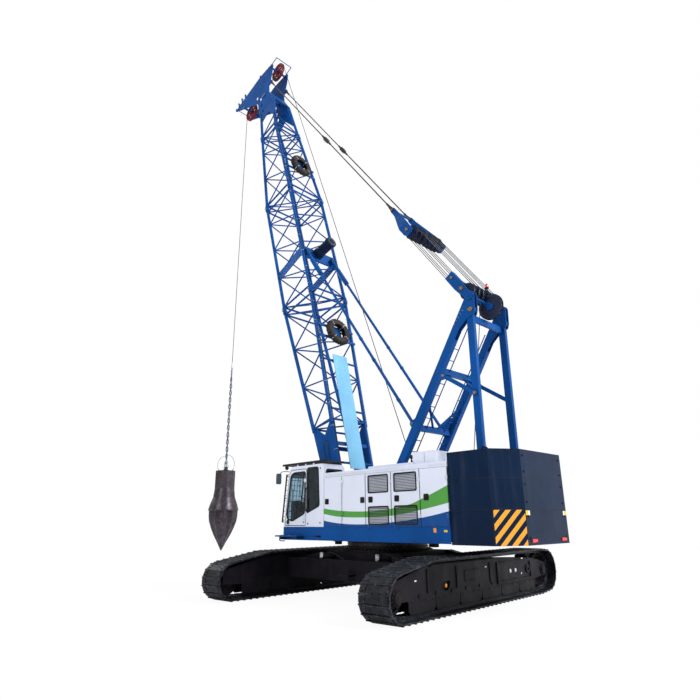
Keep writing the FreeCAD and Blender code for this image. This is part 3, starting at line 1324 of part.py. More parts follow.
def buildBoom():
    plateEnd = at.footPlateLength
    deep, wide = footSize(plateEnd)
    pieces = cutBetween(merged(chordTubes(plateEnd, at.baseLength, footSize)), plateEnd - 200, at.baseLength).Solids
    pieces += laceTubes(spaced(plateEnd + 60, at.baseLength - 170, at.lacePitch), footSize)
    pieces += crossTubes(at.baseLength - 170, footSize) + crossTubes(plateEnd + 60, footSize)
    pieces += collars(plateEnd, at.baseLength, footSize)[4:]
    for s in (1, -1):
        y = s * at.footHalfWide - at.lugThick / 2
        low = footSize(0)[0]
        outline = [(-60, -110), (-60, 110), (250, low + 50), (plateEnd + 60, deep + at.chordRound),
                   (plateEnd + 60, deep - 60), (plateEnd - 350, 0), (plateEnd + 60, -deep + 60),
                   (plateEnd + 60, -deep - at.chordRound), (250, -low - 50)]
        pieces.append(boomPlate(outline, y, at.lugThick))
        pieces.append(pinAt(foot, s * at.footHalfWide, at.lugThick, at.footEye))
    for run in (at.footCrossLow, at.footCrossHigh):
        half = footSize(run)[0]
        pieces.append(tube(boomPoint(run, 0, -at.footHalfWide), boomPoint(run, 0, at.footHalfWide),
                           at.footCrossRound))
        pieces.append(boomBlock(run - 60, -half, -at.footHalfWide, 120, 40, 2 * at.footHalfWide))
    for run in (at.guardStart + 200, (at.guardStart + at.guardEnd) / 2, at.guardEnd - 200):
        half, across = footSize(run)
        across = max(across, at.footHalfWide)
        pieces.append(tube(boomPoint(run, -half, -across), boomPoint(run, -half, across), at.frameRound))
        pieces.append(boomBlock(run - 50, -half - at.chordRound - 2, -at.guardHalf + 40, 100, at.chordRound + 4,
                                2 * at.guardHalf - 80))
    pieces += tyreStraps(at.tyreLow, footSize)
    bore = disc(foot.x, foot.z, 0, 4 * at.footHalfWide, at.footPin + at.seat)
    node(fixedShape("BoomBase", merged(pieces).cut(Part.makeCompound([bore, guardPlate()]))), "boom_base")

    pieces = cutBetween(merged(chordTubes(middleStart, topStart, plainSize)), middleStart, topStart).Solids
    pieces += laceTubes(spaced(middleStart + 170, topStart - 170, at.lacePitch), plainSize, at.bufferStation)
    pieces += crossTubes(middleStart + 170, plainSize) + crossTubes(topStart - 170, plainSize)
    pieces += collars(middleStart, topStart, plainSize)
    half = at.stopPlateWide / 2
    inside = at.boomHalfDeep - at.chordRound / 2
    pieces.append(boomBlock(at.bufferStation - 2 * half, -at.boomHalfDeep + at.bufferSeat, -at.boomHalfWide + 10,
                            3 * half, at.bufferPlate, 2 * at.boomHalfWide - 20))
    for s in (1, -1):
        y = s * at.boomHalfWide
        bar = boomPlate([(at.stopStation - half, -inside), (at.stopStation + half, -inside),
                         (at.stopStation + half - 250, inside), (at.stopStation - half - 250, inside)], y - 15, 30)
        pieces.append(bar)
        for low in (at.stopTube + at.lugPlay, -at.stopTube - at.lugPlay - at.clevisThick):
            edge = s * at.stopHalf + (low if s > 0 else -low - at.clevisThick)
            pieces.append(boomBlock(at.stopStation - 80, -inside + 60, edge, 160, -180, at.clevisThick))
        pieces.append(pinAt(stopHigh, s * at.stopHalf, 2 * (at.stopTube + at.lugPlay + at.clevisThick), at.stopPin))
    node(fixedShape("BoomMiddle", merged(pieces)), "boom_middle")

    pieces = cutBetween(merged(chordTubes(topStart, headStart, taperSize)), topStart, headStart).Solids
    pieces += laceTubes(spaced(topStart + 170, headStart - 170, at.lacePitch), taperSize)
    pieces += crossTubes(topStart + 170, taperSize) + crossTubes(headStart - 170, taperSize)
    pieces += collars(topStart, headStart, taperSize)
    pieces += tyreStraps(at.tyreHigh, taperSize)
    node(fixedShape("BoomTop", merged(pieces)), "boom_top")


def headSize(run):
    share = (run - headStart) / at.headRun
    return at.headHalfDeep, at.headHalfWide + (at.headPlateHalf - at.headHalfWide) * share


# Spots of the head, their runs counted from the joint below it.
def fromHead(spots):
    return [(headStart + run, out) for run, out in spots]


def buildHead():
    joint = headStart + at.headRun
    plate = at.headPlateThick
    keepers = fromHead([(4590, 1430), (4630, 1730), (4570, 2030), (4390, 2290)])
    pieces = cutBetween(merged(chordTubes(headStart, joint, headSize)), headStart, joint + 300).Solids
    pieces += collars(headStart, joint, headSize)[:4]
    pieces += crossTubes(headStart + 170, headSize)
    pieces += laceTubes([headStart + 170, headStart + 800], headSize)
    slots = []
    for s in (1, -1):
        flare = []
        for run, out in ((headStart + 650, -520), (headStart + 1500, -60), (headStart + 1250, 520),
                         (joint, 520), (joint, -520)):
            flare.append(boomPoint(run, out, s * headSize(run)[1]))
        face = Part.Face(Part.makePolygon(flare + flare[:1]))
        skin = face.extrude(Vector(0, plate, 0))
        skin.translate(Vector(0, -plate / 2, 0))
        pieces.append(skin)
        y = s * at.headPlateHalf - plate / 2
        outline = [(joint - 20, -580), (joint - 20, 640)]
        outline += fromHead([(2880, 600), (4220, 2315), (4310, 2330), (4350, 1361), (4390, 60), (4240, -895),
                             (4080, -960), (3630, -760), (3360, -600), (3270, -500), (3270, -586), (3110, -586),
                             (3110, -400), (2730, -330)])
        pieces.append(boomPlate(outline, y, plate))
        pieces.append(pinAt(pendantEnd, s * at.headPlateHalf, plate, 100))
        for run, out in fromHead([(3200, 570), (2880, 340), (2420, 360), (1990, 340)]):
            slots.append(pinAt(boomPoint(run, out), s * at.headPlateHalf, 200, 62))
            slots.append(pinAt(boomPoint(run + 90, out), s * at.headPlateHalf, 200, 62))
            slots.append(boomBlock(run, out - 62, s * at.headPlateHalf - 100, 90, 124, 200))
        # tabs and bars that keep the rope on the front sheave
        for run, out in keepers:
            low = headStart + (4290 if out > 2200 else 4320)
            pieces.append(boomPlate([(low - 40, out - 60), (run + 30, out - 30), (run + 30, out + 30),
                                     (low - 40, out + 45)], y, plate))
        # the rope guard's arm
        arm = s * (at.headPlateHalf - 10)
        root, tip = fromHead([(4220, -850), (4260, -1265)])
        pieces.append(tube(boomPoint(*root, arm), boomPoint(*tip, arm), at.keeperRound))
    for run, out in keepers + [tip]:
        pieces.append(pinAt(boomPoint(run, out), 0, 2 * at.headPlateHalf, at.keeperRound))
    rear, front = (at.rearSheaveRun, at.rearSheaveD), (at.frontSheaveRun, at.frontSheaveD)
    rear, front, brace = fromHead([rear, front, (2880, 60)])
    for (run, out), r in ((rear, at.headShaft), (front, at.headShaft), (brace, 80)):
        pieces.append(pinAt(boomPoint(run, out), 0, 2 * at.headPlateHalf + 110, r))
    for s in (1, -1):
        pieces.append(pinAt(pendantEnd, s * at.headPlateHalf, 110, at.pendantPin))
    web = fromHead([(2050, -540), (2680, -350), (2700, -320), (2050, -500)])
    pieces.append(boomPlate(web, -at.headPlateHalf, 2 * at.headPlateHalf))
    shape = merged(pieces).cut(Part.makeCompound(slots))
    node(fixedShape("BoomHead", shape), "boom_head")
    for name, (run, out), label in (("RearSheave", rear, "head_sheave_rear"),
                                    ("FrontSheave", front, "head_sheave_front")):
        spot = boomPoint(run, out)
        sheave = sheaveShape(spot, 0, at.sheaveRound, at.sheaveThick, at.headShaft + at.seat)
        holes = []
        for i in range(6):
            turn = math.radians(60 * i)
            holes.append(disc(spot.x + 250 * math.cos(turn), spot.z + 250 * math.sin(turn), 0, 200, 62))
        node(fixedShape(name, sheave.cut(Part.makeCompound(holes))), label)


def buildBoomParts():
    node(fixedShape("GuardPlate", guardPlate()), "boom_guard_plate")
    tyres = []
    half = at.tyreWide / 2
    section = [(at.tyreRim, -half * 0.7), (at.tyreRim + 50, -half), (at.tyreRound - 60, -half),
               (at.tyreRound, -half * 0.55), (at.tyreRound, half * 0.55), (at.tyreRound - 60, half),
               (at.tyreRim + 50, half), (at.tyreRim, half * 0.7), (at.tyreRim + 60, half * 0.4),
               (at.tyreRim + 60, -half * 0.4)]
    for run, size in ((at.tyreLow, footSize), (at.tyreHigh, taperSize)):
        out = -size(run)[0] - at.chordRound - at.strapThick - half - at.seat
        ring = turned(0, 0, 0, section)
        ring.Placement = Placement(boomPoint(run, out), Rotation(Vector(0, 1, 0), boomOut))
        tyres.append(ring)
    node(fixedShape("BoomTyres", Part.makeCompound(tyres)), "boom_tyres")
    start = boomPoint(at.bufferStation, -at.boomHalfDeep + at.bufferSeat)
    long = at.bufferEnd - at.boomHalfDeep + at.bufferSeat
    rear = boomOut * -1
    body = Part.makeCylinder(at.bufferRound, long - 160, start, rear)
    cap = Part.makeCylinder(at.bufferRound + 20, 160, start + rear * (long - 160), rear)
    band = Part.makeCylinder(at.bufferRound + 25, 60, start + rear * 60, rear)
    node(fixedShape("Buffer", merged([body, cap, band])), "boom_buffer")


def buildBackstops():
    run = stopHigh - stopLow
    way = run * (1 / run.Length)
    tubes = []
    sleeves = []
    for s in (1, -1):
        y = Vector(0, s * at.stopHalf, 0)
        wide = 2 * at.stopTube + 4
        rodEnd = pinAt(stopLow, s * at.stopHalf, wide, at.stopEye)
        shape = merged([rodEnd, tube(stopLow + y, stopHigh + y - way * 620, at.stopTube)])
        tubes.append(shape.cut(pinAt(stopLow, s * at.stopHalf, 3 * wide, at.stopPin + at.seat)))
        outer = tube(stopHigh + y - way * at.stopSleeveLength, stopHigh + y - way * 110, at.stopSleeve)
        lowEnd = stopHigh + y - way * at.stopSleeveLength
        collar = tube(lowEnd, lowEnd + way * 70, at.stopSleeve + 18)
        neck = tube(stopHigh + y - way * 130, stopHigh + y, 40)
        eye = pinAt(stopHigh, s * at.stopHalf, wide, at.stopEye)
        bore = tube(stopHigh + y - way * (at.stopSleeveLength + 10), stopHigh + y - way * 180,
                    at.stopTube + at.seat)
        slack = pinAt(stopHigh, s * at.stopHalf, 3 * wide, at.stopPin + at.stopSlack)
        sleeves.append(merged([outer, collar, neck, eye]).cut(Part.makeCompound([bore, slack])))
    node(fixedShape("StopTubes", Part.makeCompound(tubes)), "backstop_tubes")
    node(fixedShape("StopSleeves", Part.makeCompound(sleeves)), "backstop_sleeves")


# The hammer: an eight-sided neck, a flared shoulder and a fluted point below the rim.
def buildHammer():
    head = boomPoint(headStart + at.frontSheaveRun, at.frontSheaveD)
    x = head.x + at.sheaveRound - 40 + at.ropeRound + at.seat
    top = at.hammerTip + at.hammerLength
    rim = at.hammerRim
    neckLow = top - 0.23 * at.hammerLength

    def ringAt(z, radius, count, share=1):
        points = []
        for i in range(count):
            turn = 2 * math.pi * (i + 0.5) / count
            r = radius * (share if i % 2 else 1)
            points.append(Vector(r * math.cos(turn), r * math.sin(turn), z))
        return Part.Wire(Part.makePolygon(points + points[:1]))

    neckRound = at.hammerNeck * 1.08
    neck = Part.makeLoft([ringAt(neckLow - 40, neckRound, 8), ringAt(top, neckRound, 8)], True, True)
    shoulder = [(0, rim), (at.hammerRound, rim), (at.hammerRound, rim + 40), (at.hammerRound * 0.9, rim + 260),
                (at.hammerRound * 0.73, rim + 530), (at.hammerRound * 0.66, neckLow), (0, neckLow)]
    wire = Part.makePolygon([Vector(r, 0, z) for r, z in shoulder + shoulder[:1]])
    flare = Part.Face(wire).revolve(Vector(), Vector(0, 0, 1), 360)
    teeth = 2 * int(at.hammerFlutes)
    deep = rim - at.hammerTip
    rings = []
    for down, share in ((0, 0.985), (0.14, 0.98), (0.28, 0.925), (0.45, 0.765), (0.62, 0.565), (0.79, 0.31),
                        (1, 0.03)):
        rings.append(ringAt(rim - down * deep, at.hammerRound * share, teeth, 0.86))
    point = Part.makeLoft(rings, True, True)
    eye = disc(0, top + at.hammerEye * 0.5, 0, 70, at.hammerEye).cut(disc(0, top + at.hammerEye * 0.6, 0, 100, 45))
    shape = merged([neck, flare, point, eye])
    shape.translate(Vector(x, 0, 0))
    node(fixedShape("Hammer", shape), "hammer")
    rope = tube(Vector(x, 0, top + at.hammerEye * 1.5 + at.seat), Vector(x, 0, head.z), at.ropeRound)
    node(fixedShape("HoistRope", rope), "hoist_rope")


for step in (buildTracks, buildWheels, buildRollers, buildSideFrames, buildDrives, buildCarbody, buildMainFrame,
             buildDecks, buildHouses, buildDoors, buildCab, buildCounterweight, buildEngine, buildWinches,
             buildFrontLegs, buildBackLegs, buildGuideSheave, buildLuffingFrame, buildBail, buildPendants,
             buildBoom, buildHead, buildBoomParts, buildBackstops, buildHammer):
    step()
    print(step.__name__)

doc.recompute()
faults = [thing.Name for thing in doc.Objects if "Invalid" in thing.State or "Error" in thing.State]
for thing in nodes:
    if thing.Shape.isNull() or not thing.Shape.isValid():
        faults.append(thing.Label)
if faults:
    raise RuntimeError("failed: " + ", ".join(faults))
os.makedirs("parts", exist_ok=True)
for thing in nodes:
    thing.Shape.exportStep(f"parts/{thing.Label}.step")
    print(thing.Label, len(thing.Shape.Solids), round(thing.Shape.Volume / 1e9, 4))
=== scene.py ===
import json
from math import acos, atan2, cos, dist, exp, hypot, pi, radians, sin
import bmesh
import bpy
from mathutils import Matrix, Vector


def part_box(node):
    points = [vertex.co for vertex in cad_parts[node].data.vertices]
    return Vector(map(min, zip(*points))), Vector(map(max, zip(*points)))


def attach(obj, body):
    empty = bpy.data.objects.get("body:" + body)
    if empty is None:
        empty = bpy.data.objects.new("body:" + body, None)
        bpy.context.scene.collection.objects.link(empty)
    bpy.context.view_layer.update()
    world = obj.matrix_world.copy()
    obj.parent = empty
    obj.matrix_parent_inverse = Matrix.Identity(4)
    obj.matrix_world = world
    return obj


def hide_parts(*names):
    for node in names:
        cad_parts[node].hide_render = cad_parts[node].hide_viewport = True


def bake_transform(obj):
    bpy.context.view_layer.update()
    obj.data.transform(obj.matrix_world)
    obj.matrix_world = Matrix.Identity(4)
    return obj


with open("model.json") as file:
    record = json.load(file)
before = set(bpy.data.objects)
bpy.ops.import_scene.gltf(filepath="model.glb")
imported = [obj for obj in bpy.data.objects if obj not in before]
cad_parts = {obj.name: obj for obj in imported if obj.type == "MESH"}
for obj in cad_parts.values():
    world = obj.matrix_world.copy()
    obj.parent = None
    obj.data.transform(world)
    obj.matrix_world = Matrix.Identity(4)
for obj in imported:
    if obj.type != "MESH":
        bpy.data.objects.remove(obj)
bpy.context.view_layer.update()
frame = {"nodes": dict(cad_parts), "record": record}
nodes = frame["nodes"]
print("frame loaded:", len(nodes), "nodes")


# short ways to add, set and join shader nodes

def addNode(tree, kind, **settings):
    n = tree.nodes.new("ShaderNode" + kind)
    for key, value in settings.items():
        setattr(n, key, value)
    return n


def plug(source, target):
    target.id_data.links.new(source, target)


def feed(socket, value):
    # a link from an output, or a plain number or colour
    if hasattr(value, "is_output"):
        plug(value, socket)
    elif isinstance(value, (int, float)):
        socket.default_value = value
    else:
        socket.default_value = (*value, 1)


def setInputs(n, **values):
    for label, value in values.items():
        n.inputs[label.replace("_", " ")].default_value = value


def treeOf(*values):
    # the node tree that these outputs belong to
    return next(value.id_data for value in values if hasattr(value, "is_output"))


def calc(operation, a, b=None, clamp=False):
    # one step of arithmetic between outputs or plain numbers
    n = addNode(treeOf(a, b), "Math", operation=operation, use_clamp=clamp)
    feed(n.inputs[0], a)
    if b is not None:
        feed(n.inputs[1], b)
    return n.outputs[0]


def product(first, *others):
    for other in others:
        first = calc("MULTIPLY", first, other)
    return first


def dotNode(vector, direction):
    n = addNode(treeOf(vector), "VectorMath", operation="DOT_PRODUCT")
    n.inputs[1].default_value = direction
    plug(vector, n.inputs[0])
    return n.outputs["Value"]


def splitAxes(vector):
    n = addNode(treeOf(vector), "SeparateXYZ")
    plug(vector, n.inputs[0])
    return n.outputs


def mixColour(factor, a, b):
    n = addNode(treeOf(factor, a, b), "Mix", data_type="RGBA")
    for socket, value in zip((n.inputs[0], n.inputs[6], n.inputs[7]), (factor, a, b)):
        feed(socket, value)
    return n.outputs[2]


def mapRange(value, low, high, toLow=0.0, toHigh=1.0):
    n = addNode(treeOf(value), "MapRange", clamp=True)
    for i, number in enumerate((value, low, high, toLow, toHigh)):
        feed(n.inputs[i], number)
    return n.outputs[0]


def newGroup(name, output, floats, vector=True):
    tree = bpy.data.node_groups.new(name, "ShaderNodeTree")
    if vector:
        tree.interface.new_socket("Vector", in_out="INPUT", socket_type="NodeSocketVector")
    for label, value in floats.items():
        tree.interface.new_socket(label, in_out="INPUT", socket_type="NodeSocketFloat").default_value = value
    tree.interface.new_socket(output, in_out="OUTPUT", socket_type="NodeSocketFloat")
    return tree, tree.nodes.new("NodeGroupInput").outputs, tree.nodes.new("NodeGroupOutput").inputs[0]


def noise(vector, scale, detail=4, rough=0.55):
    n = addNode(treeOf(vector), "TexNoise")
    plug(vector, n.inputs["Vector"])
    feed(n.inputs["Scale"], scale)
    setInputs(n, Detail=detail, Roughness=rough)
    return n.outputs["Fac"]


def patches(vector, scale, detail, low, high):
    # noise with its middle range drawn out, so that it breaks into patches
    return mapRange(noise(vector, scale, detail), low, high)


# effects that several finishes share, each a node group

def limited(where, spots, start, end):
    # the group's mask: where it lies, broken into spots, times the amount
    mask = calc("MULTIPLY", product(where, spots), start["Amount"], True)
    plug(mask, end)


def dustAndSheenGroup():
    # dust settles on faces that look up, in blotches, and thicker near the ground; where a finish gives this mask a
    # light colour, as the track steel does, it is painted sheen on the lit tops instead of dust
    tree, start, end = newGroup("SettledDustAndSheen", "Mask", {"Scale": 2.0, "Amount": 0.5, "Ground Height": 0.0})
    geometry = addNode(tree, "NewGeometry")
    facing = mapRange(splitAxes(geometry.outputs["Normal"])[2], 0.2, 0.95)
    low = mapRange(splitAxes(start["Vector"])[2], start["Ground Height"], 0.0)
    blotch = patches(start["Vector"], start["Scale"], 6, 0.42, 0.66)
    laid = calc("MAXIMUM", facing, product(low, 0.7))
    limited(laid, blotch, start, end)
    return tree


def wearGroup():
    # paint rubbed off the edges: where a rounded normal and the flat one disagree; on the track steel its light
    # bluish colour is rubbed metal and also a painted edge highlight
    tree, start, end = newGroup("EdgeWear", "Mask", {"Scale": 6.0, "Amount": 0.5})
    bevel = addNode(tree, "Bevel", samples=3)
    setInputs(bevel, Radius=0.018)
    geometry = addNode(tree, "NewGeometry")
    dot = addNode(tree, "VectorMath", operation="DOT_PRODUCT")
    plug(bevel.outputs[0], dot.inputs[0])
    plug(geometry.outputs["Normal"], dot.inputs[1])
    edge = mapRange(dot.outputs["Value"], 0.995, 0.86)
    chips = mapRange(noise(start["Vector"], start["Scale"], 8, 0.7), 0.5, 0.62)
    limited(edge, chips, start, end)
    return tree


def streakGroup():
    # rain and rust run down in streaks
    tree, start, end = newGroup("RunStreaks", "Mask", {"Scale": 5.0, "Amount": 0.4})
    squeeze = addNode(tree, "VectorMath", operation="MULTIPLY")
    squeeze.inputs[1].default_value = (1, 1, 0.07)
    plug(start["Vector"], squeeze.inputs[0])
    fine = mapRange(noise(squeeze.outputs[0], start["Scale"], 5, 0.6), 0.52, 0.72)
    broken = patches(start["Vector"], 0.9, 3, 0.4, 0.65)
    limited(fine, broken, start, end)
    return tree


def grainGroup():
    # height of a cast or thickly painted skin: fine grain over slow lumps
    tree, start, end = newGroup("SkinGrain", "Height", {"Scale": 60.0, "Lumps": 0.4})
    fine = noise(start["Vector"], start["Scale"], 3, 0.5)
    coarse = noise(start["Vector"], product(start["Scale"], 0.08), 3, 0.5)
    plug(calc("ADD", product(fine, 0.35), product(coarse, start["Lumps"])), end)
    return tree


def bandGroup():
    # slanting bands across a flat face
    tree, start, end = newGroup("SlantBands", "Mask", {"Along": 0.0, "Up": 0.0, "Pitch": 0.3, "Shift": 0.0}, False)
    run = calc("ADD", calc("ADD", start["Along"], start["Up"]), start["Shift"])
    share = calc("FRACT", calc("DIVIDE", run, start["Pitch"]))
    plug(calc("GREATER_THAN", share, 0.5), end)
    return tree


effects = {"dustAndSheen": dustAndSheenGroup(), "wear": wearGroup(), "streaks": streakGroup(),
           "grain": grainGroup(), "bands": bandGroup()}


def place(effect, vector, **values):
    n = addNode(treeOf(vector, *values.values()), "Group", node_tree=effects[effect])
    if vector is not None:
        plug(vector, n.inputs["Vector"])
    for label, value in values.items():
        feed(n.inputs[label.replace("_", " ")], value)
    return n.outputs[0]


def newMaterial(name):
    material = bpy.data.materials.new(name)
    material.use_nodes = True
    tree = material.node_tree
    coords = addNode(tree, "TexCoord")
    return material, tree.nodes["Principled BSDF"], coords.outputs["Object"]


def addBump(shader, height, strength, distance, edge=0.0):
    tree = shader.id_data
    bump = addNode(tree, "Bump")
    setInputs(bump, Strength=strength, Distance=distance)
    plug(height, bump.inputs["Height"])
    if edge:
        soft = addNode(tree, "Bevel", samples=3)
        setInputs(soft, Radius=edge)
        plug(soft.outputs[0], bump.inputs["Normal"])
    plug(bump.outputs[0], shader.inputs["Normal"])


def dress(shader, colour, rough=None, **plain):
    # what changes over the surface is linked, and the rest is set on the shader
    plug(colour, shader.inputs["Base Color"])
    if rough:
        plug(rough, shader.inputs["Roughness"])
    setInputs(shader, **plain)


def scaled(colour, by):
    return tuple(min(1, c * by) for c in colour)


# one painted steel finish; look holds what differs from paint to paint
def paintMaterial(name, look, colourOf=None):
    material, shader, where = newMaterial(name)
    if colourOf:
        colour = colourOf(where)
    else:
        shade = patches(where, 0.8, 3, 0.35, 0.65)
        colour = mixColour(shade, scaled(look["colour"], 0.86), scaled(look["colour"], 1.1))
    streaks = place("streaks", where, Scale=5, Amount=look["streaks"])
    colour = mixColour(streaks, colour, look.get("streakColour", (0.08, 0.075, 0.07)))
    # dust on faces that look up, which on the track steel is painted sheen
    dustAndSheen = place("dustAndSheen", where, Scale=look.get("dustAndSheenScale", 2.5), Amount=look["dustAndSheen"],
                 Ground_Height=look.get("dustAndSheenTop", 0.0))
    colour = mixColour(dustAndSheen, colour, look.get("dustAndSheenColour", (0.3, 0.27, 0.23)))
    if look.get("wear", 0):
        worn = place("wear", where, Scale=look.get("wearScale", 9), Amount=look["wear"])
        colour = mixColour(worn, colour, look.get("wearAndSheenColour", (0.09, 0.08, 0.075)))
    rough = mapRange(noise(where, 3.1, 5), 0.3, 0.7, look["rough"] * 0.8, look["rough"] * 1.25)
    rough = calc("ADD", rough, product(dustAndSheen, 0.4), True)
    dress(shader, colour, rough, Metallic=look.get("metal", 0), Specular_IOR_Level=look.get("shine", 0.2),
          Coat_Roughness=0.12)
    height = place("grain", where, Scale=40, Lumps=look.get("lumps", 0.5))
    addBump(shader, height, look.get("bump", 0.12), look.get("depth", 0.01), look.get("round", 0.012))
    return material


# the painted and plated finishes

paints = {
    "bluePaint": dict(colour=(0.002, 0.064, 0.262), rough=0.36, shine=0.09, dustAndSheen=0.12, wear=0.45, streaks=0.18,
                      streakColour=(0.02, 0.05, 0.12)),
    "skyPaint": dict(colour=(0.17, 0.44, 0.665), rough=0.34, dustAndSheen=0.2, wear=0.3, streaks=0.3,
                     streakColour=(0.12, 0.3, 0.5)),
    "whitePaint": dict(colour=(0.695, 0.735, 0.855), rough=0.32, dustAndSheen=0.2, wear=0.2, streaks=0.12,
                       streakColour=(0.45, 0.45, 0.46), wearAndSheenColour=(0.3, 0.3, 0.31)),
    "navyPaint": dict(colour=(0.003, 0.013, 0.04), rough=0.34, shine=0.09, dustAndSheen=0.05, wear=0.35, streaks=0.3,
                      dustAndSheenColour=(0.06, 0.065, 0.08), streakColour=(0.05, 0.06, 0.09), lumps=0.9, bump=0.2,
                      depth=0.012),
    "chassisPaint": dict(colour=(0.006, 0.005, 0.008), rough=0.45, shine=0.09, dustAndSheen=0.4, dustAndSheenTop=1.6, wear=0.5,
                         streaks=0.3, dustAndSheenColour=(0.035, 0.027, 0.026), streakColour=(0.04, 0.026, 0.022),
                         wearAndSheenColour=(0.09, 0.07, 0.065)),
    "ringPaint": dict(colour=(0.022, 0.014, 0.015), rough=0.42, shine=0.3, dustAndSheen=0.3, wear=0.4, streaks=0.4,
                      dustAndSheenColour=(0.05, 0.035, 0.032), streakColour=(0.05, 0.03, 0.025)),
    "trimPaint": dict(colour=(0.01, 0.01, 0.012), rough=0.45, dustAndSheen=0.2, wear=0.3, streaks=0.1),
    "engineMetal": dict(colour=(0.12, 0.12, 0.12), rough=0.5, metal=0.5, dustAndSheen=0.3, wear=0.2, streaks=0.2),
    "sheaveRed": dict(colour=(0.17, 0.01, 0.018), rough=0.4, dustAndSheen=0.2, wear=0.6, streaks=0.3,
                      streakColour=(0.02, 0.015, 0.015), wearAndSheenColour=(0.2, 0.19, 0.18)),
    "sheaveDark": dict(colour=(0.013, 0.022, 0.055), rough=0.45, dustAndSheen=0.3, wear=0.6, streaks=0.4,
                       streakColour=(0.015, 0.012, 0.01), wearAndSheenColour=(0.16, 0.15, 0.14)),
    "pinPaint": dict(colour=(0.3, 0.17, 0.045), rough=0.45, metal=0.3, dustAndSheen=0.3, wear=0.5, streaks=0.3),
    "boltSteel": dict(colour=(0.32, 0.32, 0.33), rough=0.38, metal=0.9, dustAndSheen=0.3, streaks=0.3, round=0),
    "chromeRod": dict(colour=(0.62, 0.64, 0.68), rough=0.16, metal=1.0, dustAndSheen=0.1, streaks=0.05, round=0),
    "silverCap": dict(colour=(0.55, 0.56, 0.58), rough=0.35, metal=0.5, dustAndSheen=0.3, streaks=0.2),
    "yellowTape": dict(colour=(0.75, 0.5, 0.02), rough=0.4, dustAndSheen=0.2, wear=0, streaks=0.2),
    "galvanised": dict(colour=(0.42, 0.44, 0.47), rough=0.45, metal=0.8, dustAndSheen=0.2, streaks=0.2, round=0),
    # track shoes: the bluish light colour of the dust mask on their upturned faces is painted sheen, and the bluish
    # edge colour is rubbed metal with a painted edge highlight
    "trackSteel": dict(colour=(0.0035, 0.0032, 0.0045), rough=0.42, shine=0.22, dustAndSheen=0.6, dustAndSheenTop=2.2, dustAndSheenScale=5,
                       dustAndSheenColour=(0.036, 0.044, 0.062), wear=1.0, wearScale=11, wearAndSheenColour=(0.2, 0.22, 0.27),
                       streaks=0.3, streakColour=(0.03, 0.02, 0.016), lumps=0.8, bump=0.3, depth=0.015),
}


def stripedWhite(where):
    # the sweep of the green and blue bands: height against length along the side
    sweep = dict(front=0.95, rear=-3.46, floor=1.8, top=3.0, door=0.935, tail=-3.47, side=1.6,
                 green=(0.08, 0.31, 0.058), blue=(0.002, 0.062, 0.25))
    curves = {
        "greenTop": [(0.942, 2.364), (0.246, 2.285), (-0.803, 2.252), (-1.622, 2.298), (-2.274, 2.391),
                     (-2.621, 2.496), (-3.46, 2.8)],
        "greenBottom": [(0.94, 2.218), (0.246, 2.125), (-0.8, 2.1), (-1.614, 2.125), (-2.606, 2.25),
                        (-3.46, 2.4)],
        "blueTop": [(0.938, 2.035), (0.247, 1.95), (-0.886, 1.928), (-1.73, 1.978), (-2.594, 2.066),
                    (-3.456, 2.211)],
    }
    long, tall = sweep["front"] - sweep["rear"], sweep["top"] - sweep["floor"]
    x, y, z = splitAxes(where)
    along = mapRange(x, sweep["front"], sweep["rear"])
    heights = {}
    for label, points in curves.items():
        n = addNode(treeOf(where), "FloatCurve")
        plug(along, n.inputs["Value"])
        line = n.mapping.curves[0].points
        spots = [((sweep["front"] - px) / long, (pz - sweep["floor"]) / tall) for px, pz in points]
        line[0].location = (0, spots[0][1])
        line[1].location = (1, spots[-1][1])
        for spot in spots[1:-1]:
            line.new(*spot)
        n.mapping.update()
        heights[label] = calc("ADD", product(n.outputs[0], tall), sweep["floor"])
    there = product(calc("LESS_THAN", x, sweep["door"]),
                    calc("GREATER_THAN", x, sweep["tail"]),
                    calc("GREATER_THAN", calc("ABSOLUTE", y), sweep["side"]))
    green = product(calc("LESS_THAN", z, heights["greenTop"]),
                    calc("GREATER_THAN", z, heights["greenBottom"]))
    blue = calc("LESS_THAN", z, heights["blueTop"])
    base = paints["whitePaint"]["colour"]
    colour = mixColour(patches(where, 0.8, 3, 0.35, 0.65), scaled(base, 0.95), base)
    colour = mixColour(product(green, there), colour, sweep["green"])
    return mixColour(product(blue, there), colour, sweep["blue"])


def shadedStripedGrille(where):
    # the same bands with painted shade: their colour is taken 0.42 of the way to near black, for the shade inside the
    # louvres
    return mixColour(0.42, stripedWhite(where), (0.03, 0.03, 0.035))


def hazardNavy(where):
    # warning bands on the lower slab's two chamfers
    low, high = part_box("counterweight_lower")
    bands = dict(pitch=0.262, shift=0.02, low=low.z + 0.004, high=high.z - 0.012, front=-4.575, rear=-4.984,
                 side=0.975, slant=(-0.547, -0.837, -0.96), colour=(0.8, 0.34, 0.035))
    x, y, z = splitAxes(where)
    side = calc("ABSOLUTE", y)
    along = calc("ADD", product(x, bands["slant"][0]), product(side, bands["slant"][1]))
    mask = place("bands", None, Along=along, Up=product(z, bands["slant"][2]),
                 Pitch=bands["pitch"], Shift=bands["shift"])
    inside = product(calc("LESS_THAN", x, bands["front"]),
                     calc("GREATER_THAN", x, bands["rear"]),
                     calc("GREATER_THAN", side, bands["side"]),
                     calc("GREATER_THAN", z, bands["low"]),
                     calc("LESS_THAN", z, bands["high"]))
    base = paints["navyPaint"]["colour"]
    colour = mixColour(patches(where, 0.9, 3, 0.35, 0.65), scaled(base, 0.85), base)
    return mixColour(product(inside, mask), colour, bands["colour"])


